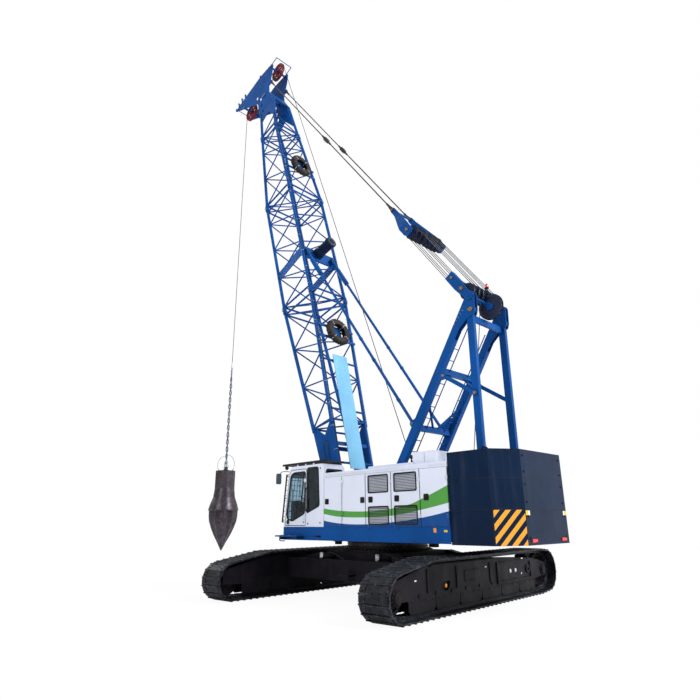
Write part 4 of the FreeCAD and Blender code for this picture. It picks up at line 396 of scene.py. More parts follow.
def hammerMaterial(name):
    # cast steel with rust in the hollows and polished ridges
    material, shader, where = newMaterial(name)
    blotch = mapRange(noise(where, 2.2, 7, 0.62), 0.4, 0.62)
    colour = mixColour(blotch, (0.054, 0.047, 0.066), (0.028, 0.018, 0.021))
    fine = mapRange(noise(where, 16, 5, 0.6), 0.5, 0.7)
    colour = mixColour(product(fine, 0.5), colour, (0.16, 0.13, 0.13))
    streaks = place("streaks", where, Scale=7.0, Amount=0.6)
    colour = mixColour(streaks, colour, (0.035, 0.02, 0.017))
    worn = place("wear", where, Scale=7.0, Amount=0.9)
    dress(shader, mixColour(worn, colour, (0.36, 0.32, 0.33)),
          mapRange(blotch, 0, 1, 0.28, 0.5), Metallic=0.6)
    addBump(shader, place("grain", where, Scale=26.0, Lumps=1.2), 0.35, 0.03, 0.03)
    return material


def ropeMaterial(name, colour, pitch, direction=None):
    # laid wires: bands that run round the rope; along a known line or by the tube's own map
    material, shader, where = newMaterial(name)
    if direction is None:
        axes = splitAxes(addNode(material.node_tree, "TexCoord").outputs["UV"])
        run = calc("ADD", calc("DIVIDE", axes[0], pitch), axes[1])
    else:
        run = calc("ADD", calc("DIVIDE", dotNode(where, direction), pitch),
                   product(splitAxes(where)[1], 18))
    strand = calc("ABSOLUTE", calc("SINE", product(run, 6.2832 * 1.5)))
    grease = patches(where, 1.6, 5, 0.4, 0.65)
    shade = mixColour(grease, colour, scaled(colour, 0.45))
    # between the strands the colour drops to 0.3 of its value: painted shade in the grooves
    dress(shader, mixColour(strand, scaled(colour, 0.3), shade),
          mapRange(grease, 0, 1, 0.35, 0.55), Metallic=0.8)
    addBump(shader, strand, 0.7, 0.006)
    return material


def rubberMaterial(name, colour, dustAndSheen):
    material, shader, where = newMaterial(name)
    blotch = patches(where, 5, 5, 0.4, 0.65)
    colour = mixColour(product(blotch, dustAndSheen), colour, (0.12, 0.1, 0.085))
    dress(shader, colour, mapRange(blotch, 0, 1, 0.55, 0.8), Specular_IOR_Level=0.2)
    addBump(shader, place("grain", where, Scale=70.0, Lumps=0.6), 0.3, 0.006)
    return material


def glassMaterial(name):
    material, shader, where = newMaterial(name)
    film = patches(where, 3, 5, 0.35, 0.7)
    dress(shader, mixColour(film, (0.52, 0.66, 0.74), (0.42, 0.55, 0.63)),
          mapRange(film, 0, 1, 0.02, 0.07), Metallic=0, Transmission_Weight=1, IOR=1.32)
    return material


def clothMaterial(name):
    material, shader, where = newMaterial(name)
    waves = []
    for direction in "XZ":
        n = addNode(material.node_tree, "TexWave", bands_direction=direction)
        setInputs(n, Scale=40, Distortion=1.5)
        plug(where, n.inputs["Vector"])
        waves.append(n.outputs["Fac"])
    weave = product(*waves)
    dress(shader, mixColour(weave, (0.018, 0.018, 0.02), (0.07, 0.07, 0.075)), Roughness=0.9,
          Sheen_Weight=0.3)
    addBump(shader, weave, 0.5, 0.002)
    return material


def lensMaterial(name, colour, glow):
    material, shader, where = newMaterial(name)
    cells = addNode(material.node_tree, "TexVoronoi")
    setInputs(cells, Scale=60)
    plug(where, cells.inputs["Vector"])
    facet = cells.outputs["Distance"]
    # the colour darkens towards the cells' edges, painted shade on the facets; the emission makes the lens glow, and
    # on a part that is no lamp this glow is painted shine
    dress(shader, mixColour(facet, colour, scaled(colour, 0.5)), Roughness=0.18,
          Emission_Color=(*colour, 1), Emission_Strength=glow)
    addBump(shader, facet, 0.4, 0.003)
    return material


# the pendants' wires are laid along the line they run up
pendantRun = Vector((cos(radians(54.8)), 0, sin(radians(54.8))))
made = [paintMaterial(name, look) for name, look in paints.items()] + [
    paintMaterial("stripedWhite", paints["whitePaint"], stripedWhite),
    paintMaterial("shadedStripedGrille", paints["whitePaint"], shadedStripedGrille),
    paintMaterial("hazardNavy", paints["navyPaint"], hazardNavy),
    hammerMaterial("hammerSteel"),
    ropeMaterial("pendantRope", (0.095, 0.085, 0.105), 0.12, pendantRun),
    ropeMaterial("wireRope", (0.17, 0.18, 0.21), 0.1),
    ropeMaterial("slingRope", (0.33, 0.37, 0.46), 0.16),
    rubberMaterial("tyreRubber", (0.012, 0.011, 0.013), 0.28),
    rubberMaterial("sealRubber", (0.006, 0.006, 0.007), 0.1),
    rubberMaterial("cabPlastic", (0.014, 0.014, 0.016), 0.15),
    glassMaterial("cabGlass"),
    clothMaterial("chairCloth"),
    # the mirror's glass and the cab's screen: a bluish colour and a faint glow, painted reflection
    lensMaterial("mirrorScreen", (0.05, 0.09, 0.13), 0.15),
    # the amber lenses are reflectors, not lamps, so their glow is painted shine
    lensMaterial("amberLens", (0.85, 0.3, 0.02), 0.25),
    lensMaterial("redLens", (0.75, 0.03, 0.02), 0.3),
    lensMaterial("clearLens", (0.8, 0.82, 0.85), 0.1)]
materials = {material.name: material for material in made}
print("materials made:", len(materials))

finishOf = {"chassis_black": "chassisPaint", "track_steel": "trackSteel", "blue_paint": "bluePaint",
            "sky_blue_paint": "skyPaint", "white_paint": "stripedWhite", "navy_paint": "navyPaint",
            "black_trim": "trimPaint", "cab_glass_tint": "cabGlass", "chair_fabric": "chairCloth",
            "engine_metal": "engineMetal", "sheave_red": "sheaveRed", "sheave_dark": "sheaveDark",
            "tyre_rubber": "tyreRubber", "rope_steel": "pendantRope", "hammer_steel": "hammerSteel"}
# parts whose finish differs from what their slot usually has
special = {"counterweight_lower": "hazardNavy", "track_rollers": "chassisPaint", "drive_sprockets": "chassisPaint",
           "idler_wheels": "chassisPaint", "backstop_sleeves": "bluePaint", "boom_buffer": "navyPaint",
           "slewing_ring": "ringPaint"}
for part in frame["record"]["subparts"]:
    finish = special.get(part["node"], finishOf[part["material_slot"]])
    for holder in nodes[part["node"]].material_slots:
        holder.material = materials[finish]
print("frame painted")


# camera, light and floor

# where the camera stands, its turns in radians, and its focal length for a frame 700 wide
view = dict(place=(-11.195, 12.267, 1.995), heading=-0.7682, pitch=0.3086, roll=-0.0083, focal=538.44)


def turnsRound(count, first=0.0):
    # a full turn shared out evenly
    return [first + 2 * pi * i / count for i in range(count)]


def addObject(name, data):
    obj = bpy.data.objects.new(name, data)
    bpy.context.scene.collection.objects.link(obj)
    return obj


def addCamera():
    camera = bpy.data.cameras.new("camera")
    camera.sensor_width = 36
    camera.lens = view["focal"] / 700 * camera.sensor_width
    camera.clip_end = 500
    obj = addObject("camera", camera)
    heading, pitch, roll = view["heading"], view["pitch"], view["roll"]
    level = Vector((cos(heading), sin(heading), 0))
    ahead = level * cos(pitch) + Vector((0, 0, sin(pitch)))
    right = Vector((level.y, -level.x, 0))
    up = level * -sin(pitch) + Vector((0, 0, cos(pitch)))
    across = right * cos(roll) + up * sin(roll)
    rise = up * cos(roll) - right * sin(roll)
    turn = Matrix((across, rise, -ahead)).transposed().to_4x4()
    obj.matrix_world = Matrix.Translation(view["place"]) @ turn
    bpy.context.scene.camera = obj


def addLamp(name, spot, target, size, power):
    lamp = bpy.data.lights.new(name, "AREA")
    lamp.shape = "DISK"
    lamp.size = size
    lamp.energy = power
    obj = addObject(name, lamp)
    obj.location = spot
    obj.rotation_euler = (Vector(target) - Vector(spot)).to_track_quat("-Z", "Y").to_euler()


def directRays(tree):
    # the camera sees the plain backdrop, and so does glass; a mirror sees the studio
    rays = addNode(tree, "LightPath")
    return calc("MAXIMUM", rays.outputs["Is Camera Ray"], rays.outputs["Is Transmission Ray"])


def addWorld():
    world = bpy.data.worlds.new("studio")
    bpy.context.scene.world = world
    world.use_nodes = True
    tree = world.node_tree
    back = tree.nodes["Background"]
    coords = addNode(tree, "TexCoord")
    where = coords.outputs["Generated"]
    # a bright wall of the studio stands behind the machine's tail, and the rest is dimmer
    sky = mapRange(splitAxes(where)[2], -0.1, 0.9, 0.26, 0.62)
    wall = mapRange(dotNode(where, (-0.64, -0.76, 0.1)), 0.35, 0.95, 0.0, 0.9)
    tint = addNode(tree, "VectorMath", operation="SCALE")
    tint.inputs[0].default_value = (0.96, 0.98, 1.0)
    plug(calc("ADD", sky, wall), tint.inputs["Scale"])
    plug(mixColour(directRays(tree), tint.outputs[0], (1, 1, 1)), back.inputs["Color"])
    setInputs(back, Strength=1)


floorLook = dict(radius=90, sides=24, level=-0.002, colour=(0.9, 0.9, 0.9, 1), fadeFrom=14, fadeTo=40)


def addFloor():
    bm = bmesh.new()
    r, z = floorLook["radius"], floorLook["level"]
    bm.faces.new([bm.verts.new((r * cos(turn), r * sin(turn), z)) for turn in turnsRound(floorLook["sides"])])
    mesh = bpy.data.meshes.new("floor")
    bm.to_mesh(mesh)
    bm.free()
    material, shader, where = newMaterial("paleFloor")
    tree = material.node_tree
    setInputs(shader, Roughness=0.9, Base_Color=floorLook["colour"])
    glow = addNode(tree, "Emission")
    setInputs(glow, Strength=1)
    blend = addNode(tree, "MixShader")
    # the far floor melts into the backdrop
    away = addNode(tree, "VectorMath", operation="LENGTH")
    plug(where, away.inputs[0])
    white = mapRange(away.outputs["Value"], floorLook["fadeFrom"], floorLook["fadeTo"], 0.93)
    plug(product(directRays(tree), white), blend.inputs[0])
    plug(shader.outputs[0], blend.inputs[1])
    plug(glow.outputs[0], blend.inputs[2])
    plug(blend.outputs[0], tree.nodes["Material Output"].inputs[0])
    mesh.materials.append(material)
    addObject("floor", mesh)


addCamera()
addWorld()
addFloor()
addLamp("keyLamp", (-34, -14, 30), (0, 0, 8), 14, 17000)
addLamp("fillLamp", (-4, 40, 24), (0, 0, 8), 18, 7000)
addLamp("frontLamp", (38, 10, 26), (0, 0, 8), 18, 5000)
bpy.context.scene.view_settings.view_transform = "Standard"
print("camera, lamps and floor placed")


def blanks(count):
    # empty meshes to build pieces in
    return [bmesh.new() for _ in range(count)]


def addPiece(name, bm, finish, body="upper_works", smooth=35):
    # the mesh becomes an object in its finish and slot, and rides on its body
    bmesh.ops.recalc_face_normals(bm, faces=bm.faces)
    mesh = bpy.data.meshes.new(name)
    bm.to_mesh(mesh)
    bm.free()
    mesh.materials.append(materials[finish])
    mesh.shade_smooth()
    mesh.set_sharp_from_angle(angle=radians(smooth))
    obj = addObject(name, mesh)
    if body:
        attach(obj, body)
    return obj


def squareTo(axis, hint=None):
    # the axis and two directions square to it
    axis = Vector(axis).normalized()
    if hint is None:
        hint = (0, 0, 1) if abs(axis.z) < 0.9 else (1, 0, 0)
    side = Vector(hint).cross(axis).normalized()
    return axis, side, axis.cross(side)


def ringSpots(centre, across, up, radius, count, first=0.0):
    # evenly spaced places round a circle
    centre = Vector(centre)
    return [centre + (across * cos(turn) + up * sin(turn)) * radius for turn in turnsRound(count, first)]


def addRings(bm, rings, closed=False):
    # a skin over a row of rings, capped at both ends or closed on itself
    rows = [[bm.verts.new(p) for p in ring] for ring in rings]
    pairs = list(zip(rows, rows[1:])) + ([(rows[-1], rows[0])] if closed else [])
    for a, b in pairs:
        for i in range(len(a)):
            j = (i + 1) % len(a)
            bm.faces.new((a[i], a[j], b[j], b[i]))
    if not closed:
        bm.faces.new(list(reversed(rows[0])))
        bm.faces.new(rows[-1])


def addBar(bm, start, end, wide, deep, up=None, chamfer=0.004):
    # a chamfered bar between two points: wide along its side, deep along its rise
    start, end = Vector(start), Vector(end)
    axis, side, rise = squareTo(end - start, up)
    w, d, c = wide / 2, deep / 2, min(chamfer, wide / 3, deep / 3)
    shape = [(w - c, d), (-w + c, d), (-w, d - c), (-w, -d + c), (-w + c, -d), (w - c, -d), (w, -d + c), (w, d - c)]
    small = [(x * (1 - c / w), y * (1 - c / d)) for x, y in shape]
    ends = ((start, small), (start + axis * c, shape), (end - axis * c, shape), (end, small))
    addRings(bm, [[point + side * x + rise * y for x, y in outline] for point, outline in ends])


def addBlock(bm, corner, opposite, chamfer=0.004):
    # a chamfered block between any two opposite corners
    low = Vector([min(pair) for pair in zip(corner, opposite)])
    high = Vector([max(pair) for pair in zip(corner, opposite)])
    middle, size = (low + high) / 2, high - low
    addBar(bm, (middle.x, middle.y, low.z), (middle.x, middle.y, high.z), size.y, size.x, (1, 0, 0), chamfer)


def addRound(bm, start, end, radius, sides=20, chamfer=0.004):
    # a round bar with chamfered ends
    start, end = Vector(start), Vector(end)
    axis, side, rise = squareTo(end - start)
    ends = ((start, radius - chamfer), (start + axis * chamfer, radius), (end - axis * chamfer, radius),
            (end, radius - chamfer))
    addRings(bm, [ringSpots(point, side, rise, r, sides) for point, r in ends])


def addTurned(bm, profile, centre, axis, sides=48):
    # profile holds (along, radius) pairs of a closed outline, swept once round the axis
    axis, side, rise = squareTo(axis)
    outs = ringSpots((0, 0, 0), side, rise, 1, sides)
    addRings(bm, [[Vector(centre) + axis * a + out * r for a, r in profile] for out in outs], closed=True)


def addKnob(bm, profile, centre, axis, sides=24, tip=None):
    # a turned solid: the outline runs in to the axis at both ends, and out to a tip where one is given
    start, end = profile[0][0], profile[-1][0] if tip is None else tip
    addTurned(bm, [(start, 0.001), *profile, (end, 0.001)], centre, axis, sides)


def addTorus(bm, centre, axis, radius, thick, sides=32, rows=8):
    profile = [(thick * sin(turn), radius + thick * cos(turn)) for turn in turnsRound(rows)]
    addTurned(bm, profile, centre, axis, sides)


def carried(points):
    # frames carried along a path without twist
    points = [Vector(p) for p in points]
    frames = []
    side = squareTo(points[1] - points[0])[1]
    for i, p in enumerate(points):
        axis = (points[min(i + 1, len(points) - 1)] - points[max(i - 1, 0)]).normalized()
        side = (side - axis * side.dot(axis)).normalized()
        frames.append((p, side, axis.cross(side)))
    return frames


def addTube(bm, points, radius, sides=8, mapped=True):
    # a tube with a map: length along, turns round
    layer = bm.loops.layers.uv.verify() if mapped else None
    frames = carried(points)
    lengths = [0.0]
    for p, q in zip(frames, frames[1:]):
        lengths.append(lengths[-1] + (q[0] - p[0]).length)
    rows = [[bm.verts.new(spot) for spot in ringSpots(p, side, rise, radius, sides)] for p, side, rise in frames]
    for n, (a, b) in enumerate(zip(rows, rows[1:])):
        for i in range(sides):
            j = (i + 1) % sides
            face = bm.faces.new((a[i], a[j], b[j], b[i]))
            if layer:
                for loop, (row, turn) in zip(face.loops, ((n, i), (n, i + 1), (n + 1, i + 1), (n + 1, i))):
                    loop[layer].uv = (lengths[row], turn / sides)
    bm.faces.new(list(reversed(rows[0])))
    bm.faces.new(rows[-1])


def addLaid(bm, points, radius, strands=6, lay=0.3, steps=10, sides=5, phase=0.0):
    # a rope of strands laid round its middle line
    frames = carried(resampled(points, lay / steps))
    strand = radius * 0.42
    for k in range(strands):
        path = []
        for n, (p, side, rise) in enumerate(frames):
            turn = 2 * pi * (n / steps + k / strands) + phase
            path.append(p + (side * cos(turn) + rise * sin(turn)) * (radius - strand))
        addTube(bm, path, strand, sides)


def resampled(points, step):
    # more points on the same path, about a step apart
    points = [Vector(p) for p in points]
    result = [points[0]]
    for a, b in zip(points, points[1:]):
        count = max(1, round((b - a).length / step))
        result += [a.lerp(b, i / count) for i in range(1, count + 1)]
    return result


def smoothed(points, rounds=3):
    # cuts the corners of a path so that it bends evenly
    points = [Vector(p) for p in points]
    for _ in range(rounds):
        result = [points[0]]
        for a, b in zip(points, points[1:]):
            result += [a.lerp(b, 0.25), a.lerp(b, 0.75)]
        points = result + [points[-1]]
    return points


def addPlate(bm, outline, origin, across, rise, thick):
    # a flat plate of any outline, thick both ways from its middle plane
    origin, across, rise = Vector(origin), Vector(across).normalized(), Vector(rise).normalized()
    normal = across.cross(rise)
    rings = [[origin + across * u + rise * v + normal * t for u, v in outline] for t in (-thick / 2, thick / 2)]
    addRings(bm, rings)


def addBolt(bm, spot, axis, size=0.018):
    # a six-sided head on its washer
    spot = Vector(spot)
    axis, side, rise = squareTo(axis)
    addRound(bm, spot, spot + axis * size * 0.22, size * 1.45, 12, size * 0.05)
    levels = ((size * 0.2, size), (size * 0.85, size), (size, size * 0.85))
    addRings(bm, [ringSpots(spot + axis * along, side, rise, r, 6) for along, r in levels])


def addBolts(bm, spots, axis, size=0.018):
    for spot in spots:
        addBolt(bm, spot, axis, size)


def addKeeper(bm, spot, out, along, reach, wide, thick=0.008):
    # the flat bar that keeps a pin, centred on its end
    addBar(bm, spot - along * reach, spot + along * reach, wide, thick, out, 0.002)


def boxOutline(x0, x1, y0, y1):
    return [(x0, y0), (x1, y0), (x1, y1), (x0, y1)]


def offsetOutline(outline, by):
    # moves every side of a closed outline outward by the same amount
    area = sum(a[0] * b[1] - b[0] * a[1] for a, b in zip(outline, outline[1:] + outline[:1]))
    turn = 1 if area > 0 else -1
    result = []
    for i, p in enumerate(outline):
        before, after, p = Vector(outline[i - 1]), Vector(outline[(i + 1) % len(outline)]), Vector(p)
        a, b = (p - before).normalized(), (after - p).normalized()
        outA, outB = Vector((a.y, -a.x)) * turn, Vector((b.y, -b.x)) * turn
        between = (outA + outB).normalized()
        result.append(p + between * by / max(0.4, between.dot(outA)))
    return result


def roundedOutline(outline, radius, steps=4):
    # the outline with its corners rounded off
    result = []
    for i, p in enumerate(outline):
        before, after, p = Vector(outline[i - 1]), Vector(outline[(i + 1) % len(outline)]), Vector(p)
        a, b = before - p, after - p
        reach = min(radius, a.length * 0.45, b.length * 0.45)
        start, end = p + a.normalized() * reach, p + b.normalized() * reach
        for k in range(steps + 1):
            t = k / steps
            result.append(start * (1 - t) ** 2 + p * 2 * t * (1 - t) + end * t ** 2)
    return result


def addFrame(bm, outline, outer, inner, origin, across, rise, near, far, corner=0.06):
    # a closed strip round an opening, from near to far along the plane's normal, with softened edges
    origin, across, rise = Vector(origin), Vector(across).normalized(), Vector(rise).normalized()
    normal = across.cross(rise)
    loop = roundedOutline(outline, corner)
    c = min(0.004, abs(far - near) / 3)
    edge = far - c if far > near else far + c
    section = ((outer, near), (outer, edge), (outer - c, far), (inner + c, far), (inner, edge), (inner, near))
    addRings(bm, [[origin + across * p.x + rise * p.y + normal * level for p in offsetOutline(loop, by)]
                  for by, level in section], closed=True)


def boomPoint(run, out=0.0, y=0.0):
    # a place given by its length up the boom and its distance out in front of the boom's middle line
    a = radians(boomLine["angle"])
    return Vector((boomLine["footX"] + run * cos(a) + out * sin(a), y,
                   boomLine["footZ"] + run * sin(a) - out * cos(a)))


def linePoint(reach, rise=0.0, y=0.0):
    # the same on the line from the gantry's apex to the pendants' upper end
    return apex + lineRun * reach + lineUp * rise + Vector((0, y, 0))


def trackPoint(along, across, z):
    # the same in the undercarriage, whose tracks stand at their own angle to the house
    a = radians(trackAngle)
    return Vector((along * cos(a) - across * sin(a), along * sin(a) + across * cos(a), z))


boomLine = dict(angle=74, footX=1.2, footZ=2.15)
trackAngle = 94
boomRun = (boomPoint(1) - boomPoint(0)).normalized()
boomOut = (boomPoint(0, 1) - boomPoint(0)).normalized()
apex = Vector((-3.93, 0, 7.67))
pendantEnd = boomPoint(20.76, -0.586)
lineRun = (pendantEnd - apex).normalized()
lineUp = Vector((-lineRun.z, 0, lineRun.x))
xWay, yWay, zWay = Vector((1, 0, 0)), Vector((0, 1, 0)), Vector((0, 0, 1))
trackAlong, trackAcross = trackPoint(1, 0, 0), trackPoint(0, 1, 0)
half = 1.65          # half the width of the house


# the house's doors: grilles, latches, rubber lips and hinge screws

# each leaf of the house: where it ends at the rear and at the front, and where its latch sits
leaves = {1: (0.17, 0.93, 0.795), 2: (-0.75, 0.17, -0.635), 3: (-1.67, -0.75, -0.94), 4: (-2.61, -1.67, -1.86),
          5: (-3.45, -2.61, -2.8)}
doorLook = dict(grilleSide=0.115, grilleFoot=(1.93, 2.73), grilleTall=0.42, frame=0.026, pitch=0.038, blade=0.029,
                grilled=(3, 4), latchZ=2.545, latchWide=0.14, latchTall=0.135, strapZ=(2.06, 2.93))


def doorGrilles(name, body, face, sign, rear, front):
    # framed openings with sloping blades and a dark mesh behind them
    frames, blades, mesh = blanks(3)
    x0, x1 = rear + doorLook["grilleSide"], front - doorLook["grilleSide"]
    tall = doorLook["grilleTall"]
    count = int(tall / doorLook["pitch"])
    for z0 in doorLook["grilleFoot"]:
        z1 = z0 + tall
        addFrame(frames, boxOutline(x0, x1, z0, z1), doorLook["frame"], -0.012, (0, face, 0), xWay, zWay,
                 0.002 * sign, -0.009 * sign, 0.035)
        screws = [(x, z) for x in (x0 - 0.015, x1 + 0.015) for z in (z0 - 0.015, z1 + 0.015)]
        for x, z in screws + [((x0 + x1) / 2, z0 - 0.016), ((x0 + x1) / 2, z1 + 0.016)]:
            addRound(frames, (x, face + sign * 0.008, z), (x, face + sign * 0.012, z), 0.007, 8, 0.001)
        for i in range(count):
            y, z = face - sign * 0.016, z0 + (i + 0.5) * tall / count
            addBar(blades, (x0 + 0.002, y, z), (x1 - 0.002, y, z), 0.0025, doorLook["blade"],
                   (0, sign * 0.34, -0.9), 0.0008)
        addBlock(mesh, (x0 + 0.003, face - sign * 0.033, z0 + 0.003), (x1 - 0.003, face - sign * 0.03, z1 - 0.003),
                 0.0008)
    addPiece("grilleFrames_" + name, frames, "trimPaint", body)
    # the blades' colour carries painted shade
    addPiece("grilleBlades_" + name, blades, "shadedStripedGrille", body)
    addPiece("grilleMesh_" + name, mesh, "sealRubber", body)


def houseDoor(side, number):
    sign = 1 if side == "left" else -1
    name, body = f"{side}_{number}", f"service_door_{side}_{number}"
    low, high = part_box("house_door_" + name)
    face = sign * half
    rear, front, free = leaves[number]
    if number in doorLook["grilled"]:
        doorGrilles(name, body, face, sign, rear, front)
    # a sunk black handle by the door's free edge
    w, t, z = doorLook["latchWide"] / 2, doorLook["latchTall"] / 2, doorLook["latchZ"]
    latch = bmesh.new()
    addFrame(latch, boxOutline(-w, w, -t, t), 0.01, -0.012, (free, face, z), xWay, zWay,
             0.004 * sign, -0.01 * sign, 0.022)
    addBlock(latch, (free - w + 0.004, face, z - t + 0.004), (free + w - 0.004, face + sign * 0.004, z + t - 0.004),
             0.002)
    grip = face + sign * 0.012
    addBar(latch, (free, grip, z - t * 0.62), (free, grip, z + t * 0.5), 0.034, 0.01, yWay, 0.003)
    addRound(latch, (free, face + sign * 0.014, z + t * 0.62), (free, face + sign * 0.02, z + t * 0.62), 0.009, 12,
             0.001)
    addPiece("doorLatch_" + name, latch, "sealRubber", body)
    # a rubber lip down each upright edge of the leaf
    lips = bmesh.new()
    for x in (rear + 0.0085, front - 0.0085):
        addBlock(lips, (x - 0.0035, face, low.z + 0.02), (x + 0.0035, face + sign * 0.0015, high.z - 0.02), 0.0004)
    addPiece("doorLips_" + name, lips, "sealRubber", body)
    # cap screws in the hinge straps; the front leaf folds back on its neighbour, so its straps are flush
    if name == "left_1":
        return
    hinges = bmesh.new()
    x = front - 0.036 if name == "left_2" else rear + 0.036
    for z in doorLook["strapZ"]:
        for step in (0.018, 0.072):
            addBolt(hinges, (x, face + sign * 0.017, z + step), (0, sign, 0), 0.008)
    addPiece("hingeScrews_" + name, hinges, "boltSteel", body)


for number in (1, 2, 3, 4, 5):
    houseDoor("left", number)
for number in (3, 4, 5):
    houseDoor("right", number)
print("house doors done")


# the rest of the house and deck

trimLook = dict(front=0.925, rear=-3.45, roofZ=3.27, sealZ=(1.87, 3.215), sillRows=(1.54, 1.81), sillStep=0.5,
                breather=(-2.02, 1.2), loopY=1.6)


def houseTrim():
    # black rubber strips in the gaps between the leaves and along the top of the doors: real seals that also stand in
    # for the shade in those gaps, as painted shade
    seals = bmesh.new()
    edges = [leaves[1][1]] + [leaf[0] for leaf in leaves.values()]
    bottom, top = trimLook["sealZ"]
    for sign in (1, -1):
        y = sign * (half - 0.014)
        for x in edges if sign > 0 else edges[2:]:
            addBlock(seals, (x - 0.004, y - 0.005, bottom), (x + 0.004, y + 0.005, top), 0.001)
        addBlock(seals, (-3.44, y - 0.005, top + 0.0055), (0.92, y + 0.005, top + 0.0105), 0.001)
    addPiece("doorGapSealsAndShade", seals, "sealRubber")
    # a folded gutter along the roof's edge, and plugs under it
    gutters = bmesh.new()
    fold = [(0, 0), (0.014, 0), (0.014, 0.022), (0.01, 0.022), (0.01, 0.004), (0, 0.004)]
    for sign in (1, -1):
        addRings(gutters, [[Vector((x, sign * (half - 0.002 + u), trimLook["roofZ"] + v)) for u, v in fold]
                           for x in (trimLook["front"], trimLook["rear"])])
        for x in (0.55, -0.3, -1.2, -2.1, -3.05):
            addRound(gutters, (x, sign * (half - 0.001), 3.245), (x, sign * (half + 0.005), 3.245), 0.01, 10, 0.001)
    addPiece("roofGutters", gutters, "whitePaint")


def roofTrim():
    # screws and hasp of the roof box
    box = bmesh.new()
    addBolts(box, [(x, y, 3.662) for x in (-2.36, -2.98) for y in (1.1, 1.42)], (0, 0, 1), 0.01)
    addBlock(box, (-2.69, 1.503, 3.4), (-2.682, 1.506, 3.63), 0.0008)
    addPiece("roofBoxScrews", box, "boltSteel")
    breather = bmesh.new()
    x, y = trimLook["breather"]
    addRound(breather, (x, y, 3.351), (x, y, 3.6), 0.022, 14)
    addTurned(breather, [(0, 0.02), (0.01, 0.05), (0.07, 0.055), (0.1, 0.03), (0.1, 0.001)], (x, y, 3.55),
              (0, 0, 1), 20)
    addKnob(breather, [(0, 0.075), (0.03, 0.075), (0.06, 0.03)], (x, y, 3.351), (0, 0, 1), 20)
    addPiece("roofBreather", breather, "trimPaint")


def sideTrim():
    # low on the sides: reflectors and a lamp, each a thin block given by its two corners and its side
    for name, finish, blocks in (
            ("sideReflectors", "amberLens", ((-3.055, 1.735, -2.975, 1.835, 1), (-3.066, 1.745, -2.966, 1.8, -1),
                                             (-3.37, 1.745, -3.27, 1.8, -1))),
            ("sideLamp", "yellowTape", ((-3.375, 1.745, -3.275, 1.795, 1),))):
        bm = bmesh.new()
        for x0, z0, x1, z1, sign in blocks:
            addBlock(bm, (x0, sign * (half + 0.0005), z0), (x1, sign * (half + 0.009), z1))
        addPiece(name, bm, finish)
    # a step's brackets and the bearers under the deck
    under = bmesh.new()
    addBlock(under, (1.05, half - 0.001, 1.575), (1.24, half + 0.012, 1.625), 0.003)
    addBlock(under, (1.26, half - 0.001, 1.59), (1.39, half + 0.008, 1.61), 0.003)
    for sign in (1, -1):
        for x, y, w in ((0.6, 1.4, 0.1), (-2.66, 1.3, 0.13)):
            addBlock(under, (x - w, sign * y - 0.07, 1.395), (x + w * 0.6, sign * y + 0.07, 1.488), 0.008)
            addBlock(under, (x - w * 1.3, sign * y - 0.09, 1.47), (x + w, sign * y + 0.09, 1.4895))
    addPiece("deckBrackets", under, "chassisPaint")
    loop = bmesh.new()
    path = [(2.79, 1.61), (3.00, 1.61), (3.04, 1.6), (3.055, 1.57), (3.055, 1.49), (3.04, 1.46), (3.00, 1.45),
            (2.79, 1.45)]
    addTube(loop, [(x, trimLook["loopY"], z) for x, z in path], 0.014, 10)
    addPiece("deckLoop", loop, "chassisPaint")
    bolts = bmesh.new()
    for sign in (1, -1):
        for i in range(12):
            x = 2.62 - i * trimLook["sillStep"]
            addBolts(bolts, [(x, sign * (half + 0.0005), z) for z in trimLook["sillRows"]], (0, sign, 0), 0.011)
    addPiece("sillBolts", bolts, "bluePaint")


houseTrim()
roofTrim()
sideTrim()
print("house trim done")


# the cab: seals, door, mirror, lamps, guard and its inside

cabLook = dict(rearWall=0.93, sill=1.86, faceLow=(2.8, 1.86), faceHigh=(2.61, 3.44), inner=0.83, sealOut=0.03,
               sealIn=-0.02, seat=2.337, chair=(1.13, 0.995), guardOut=0.13)
doorWindow = [(1.8, 2.25), (2.37, 2.04), (2.61, 2.09), (2.65, 2.2), (2.49, 3.33), (2.42, 3.41), (2.3, 3.44),
              (1.83, 3.44), (1.8, 3.4)]
quarterWindow = [(1.14, 2.45), (1.69, 2.26), (1.69, 3.54), (1.2, 3.54)]
rightWindow = [(1.14, 2.45), (2.37, 2.3), (2.6, 2.35), (2.5, 3.33), (2.4, 3.44), (1.2, 3.5)]


def facePoint(z):
    # a place at this height on the sloping front of the cab
    (x0, z0), (x1, z1) = cabLook["faceLow"], cabLook["faceHigh"]
    return Vector((x0 + (x1 - x0) * (z - z0) / (z1 - z0), 0, z))


def cabSeals():
    out, inside = cabLook["sealOut"], cabLook["sealIn"]
    bm = bmesh.new()
    addFrame(bm, doorWindow, out, inside, (0, half, 0), xWay, zWay, -0.0005, -0.007, 0.07)
    addPiece("doorWindowSeal", bm, "sealRubber", "cab_side_door")
    bm = bmesh.new()
    addFrame(bm, quarterWindow, out, inside, (0, half, 0), xWay, zWay, -0.0005, -0.007)
    addFrame(bm, rightWindow, out, inside, (0, cabLook["inner"], 0), xWay, zWay, 0.0005, 0.007)
    addFrame(bm, boxOutline(0.93, 1.55, 2.7, 3.46), out, inside, (cabLook["rearWall"], 0, 0), yWay, zWay,
             -0.0005, -0.007)
    low, high = facePoint(1.99), facePoint(3.34)
    rise = (high - low).normalized()
    addFrame(bm, boxOutline(0.93, 1.55, 0, (high - low).length), out, inside, low, yWay, rise, 0.0005, 0.007)
    # the bar across the front window
    middle = low + rise * 0.62 + xWay * 0.002
    addBar(bm, middle + yWay * 0.935, middle + yWay * 1.545, 0.012, 0.045, xWay, 0.003)
    addPiece("cabWindowSeals", bm, "sealRubber")


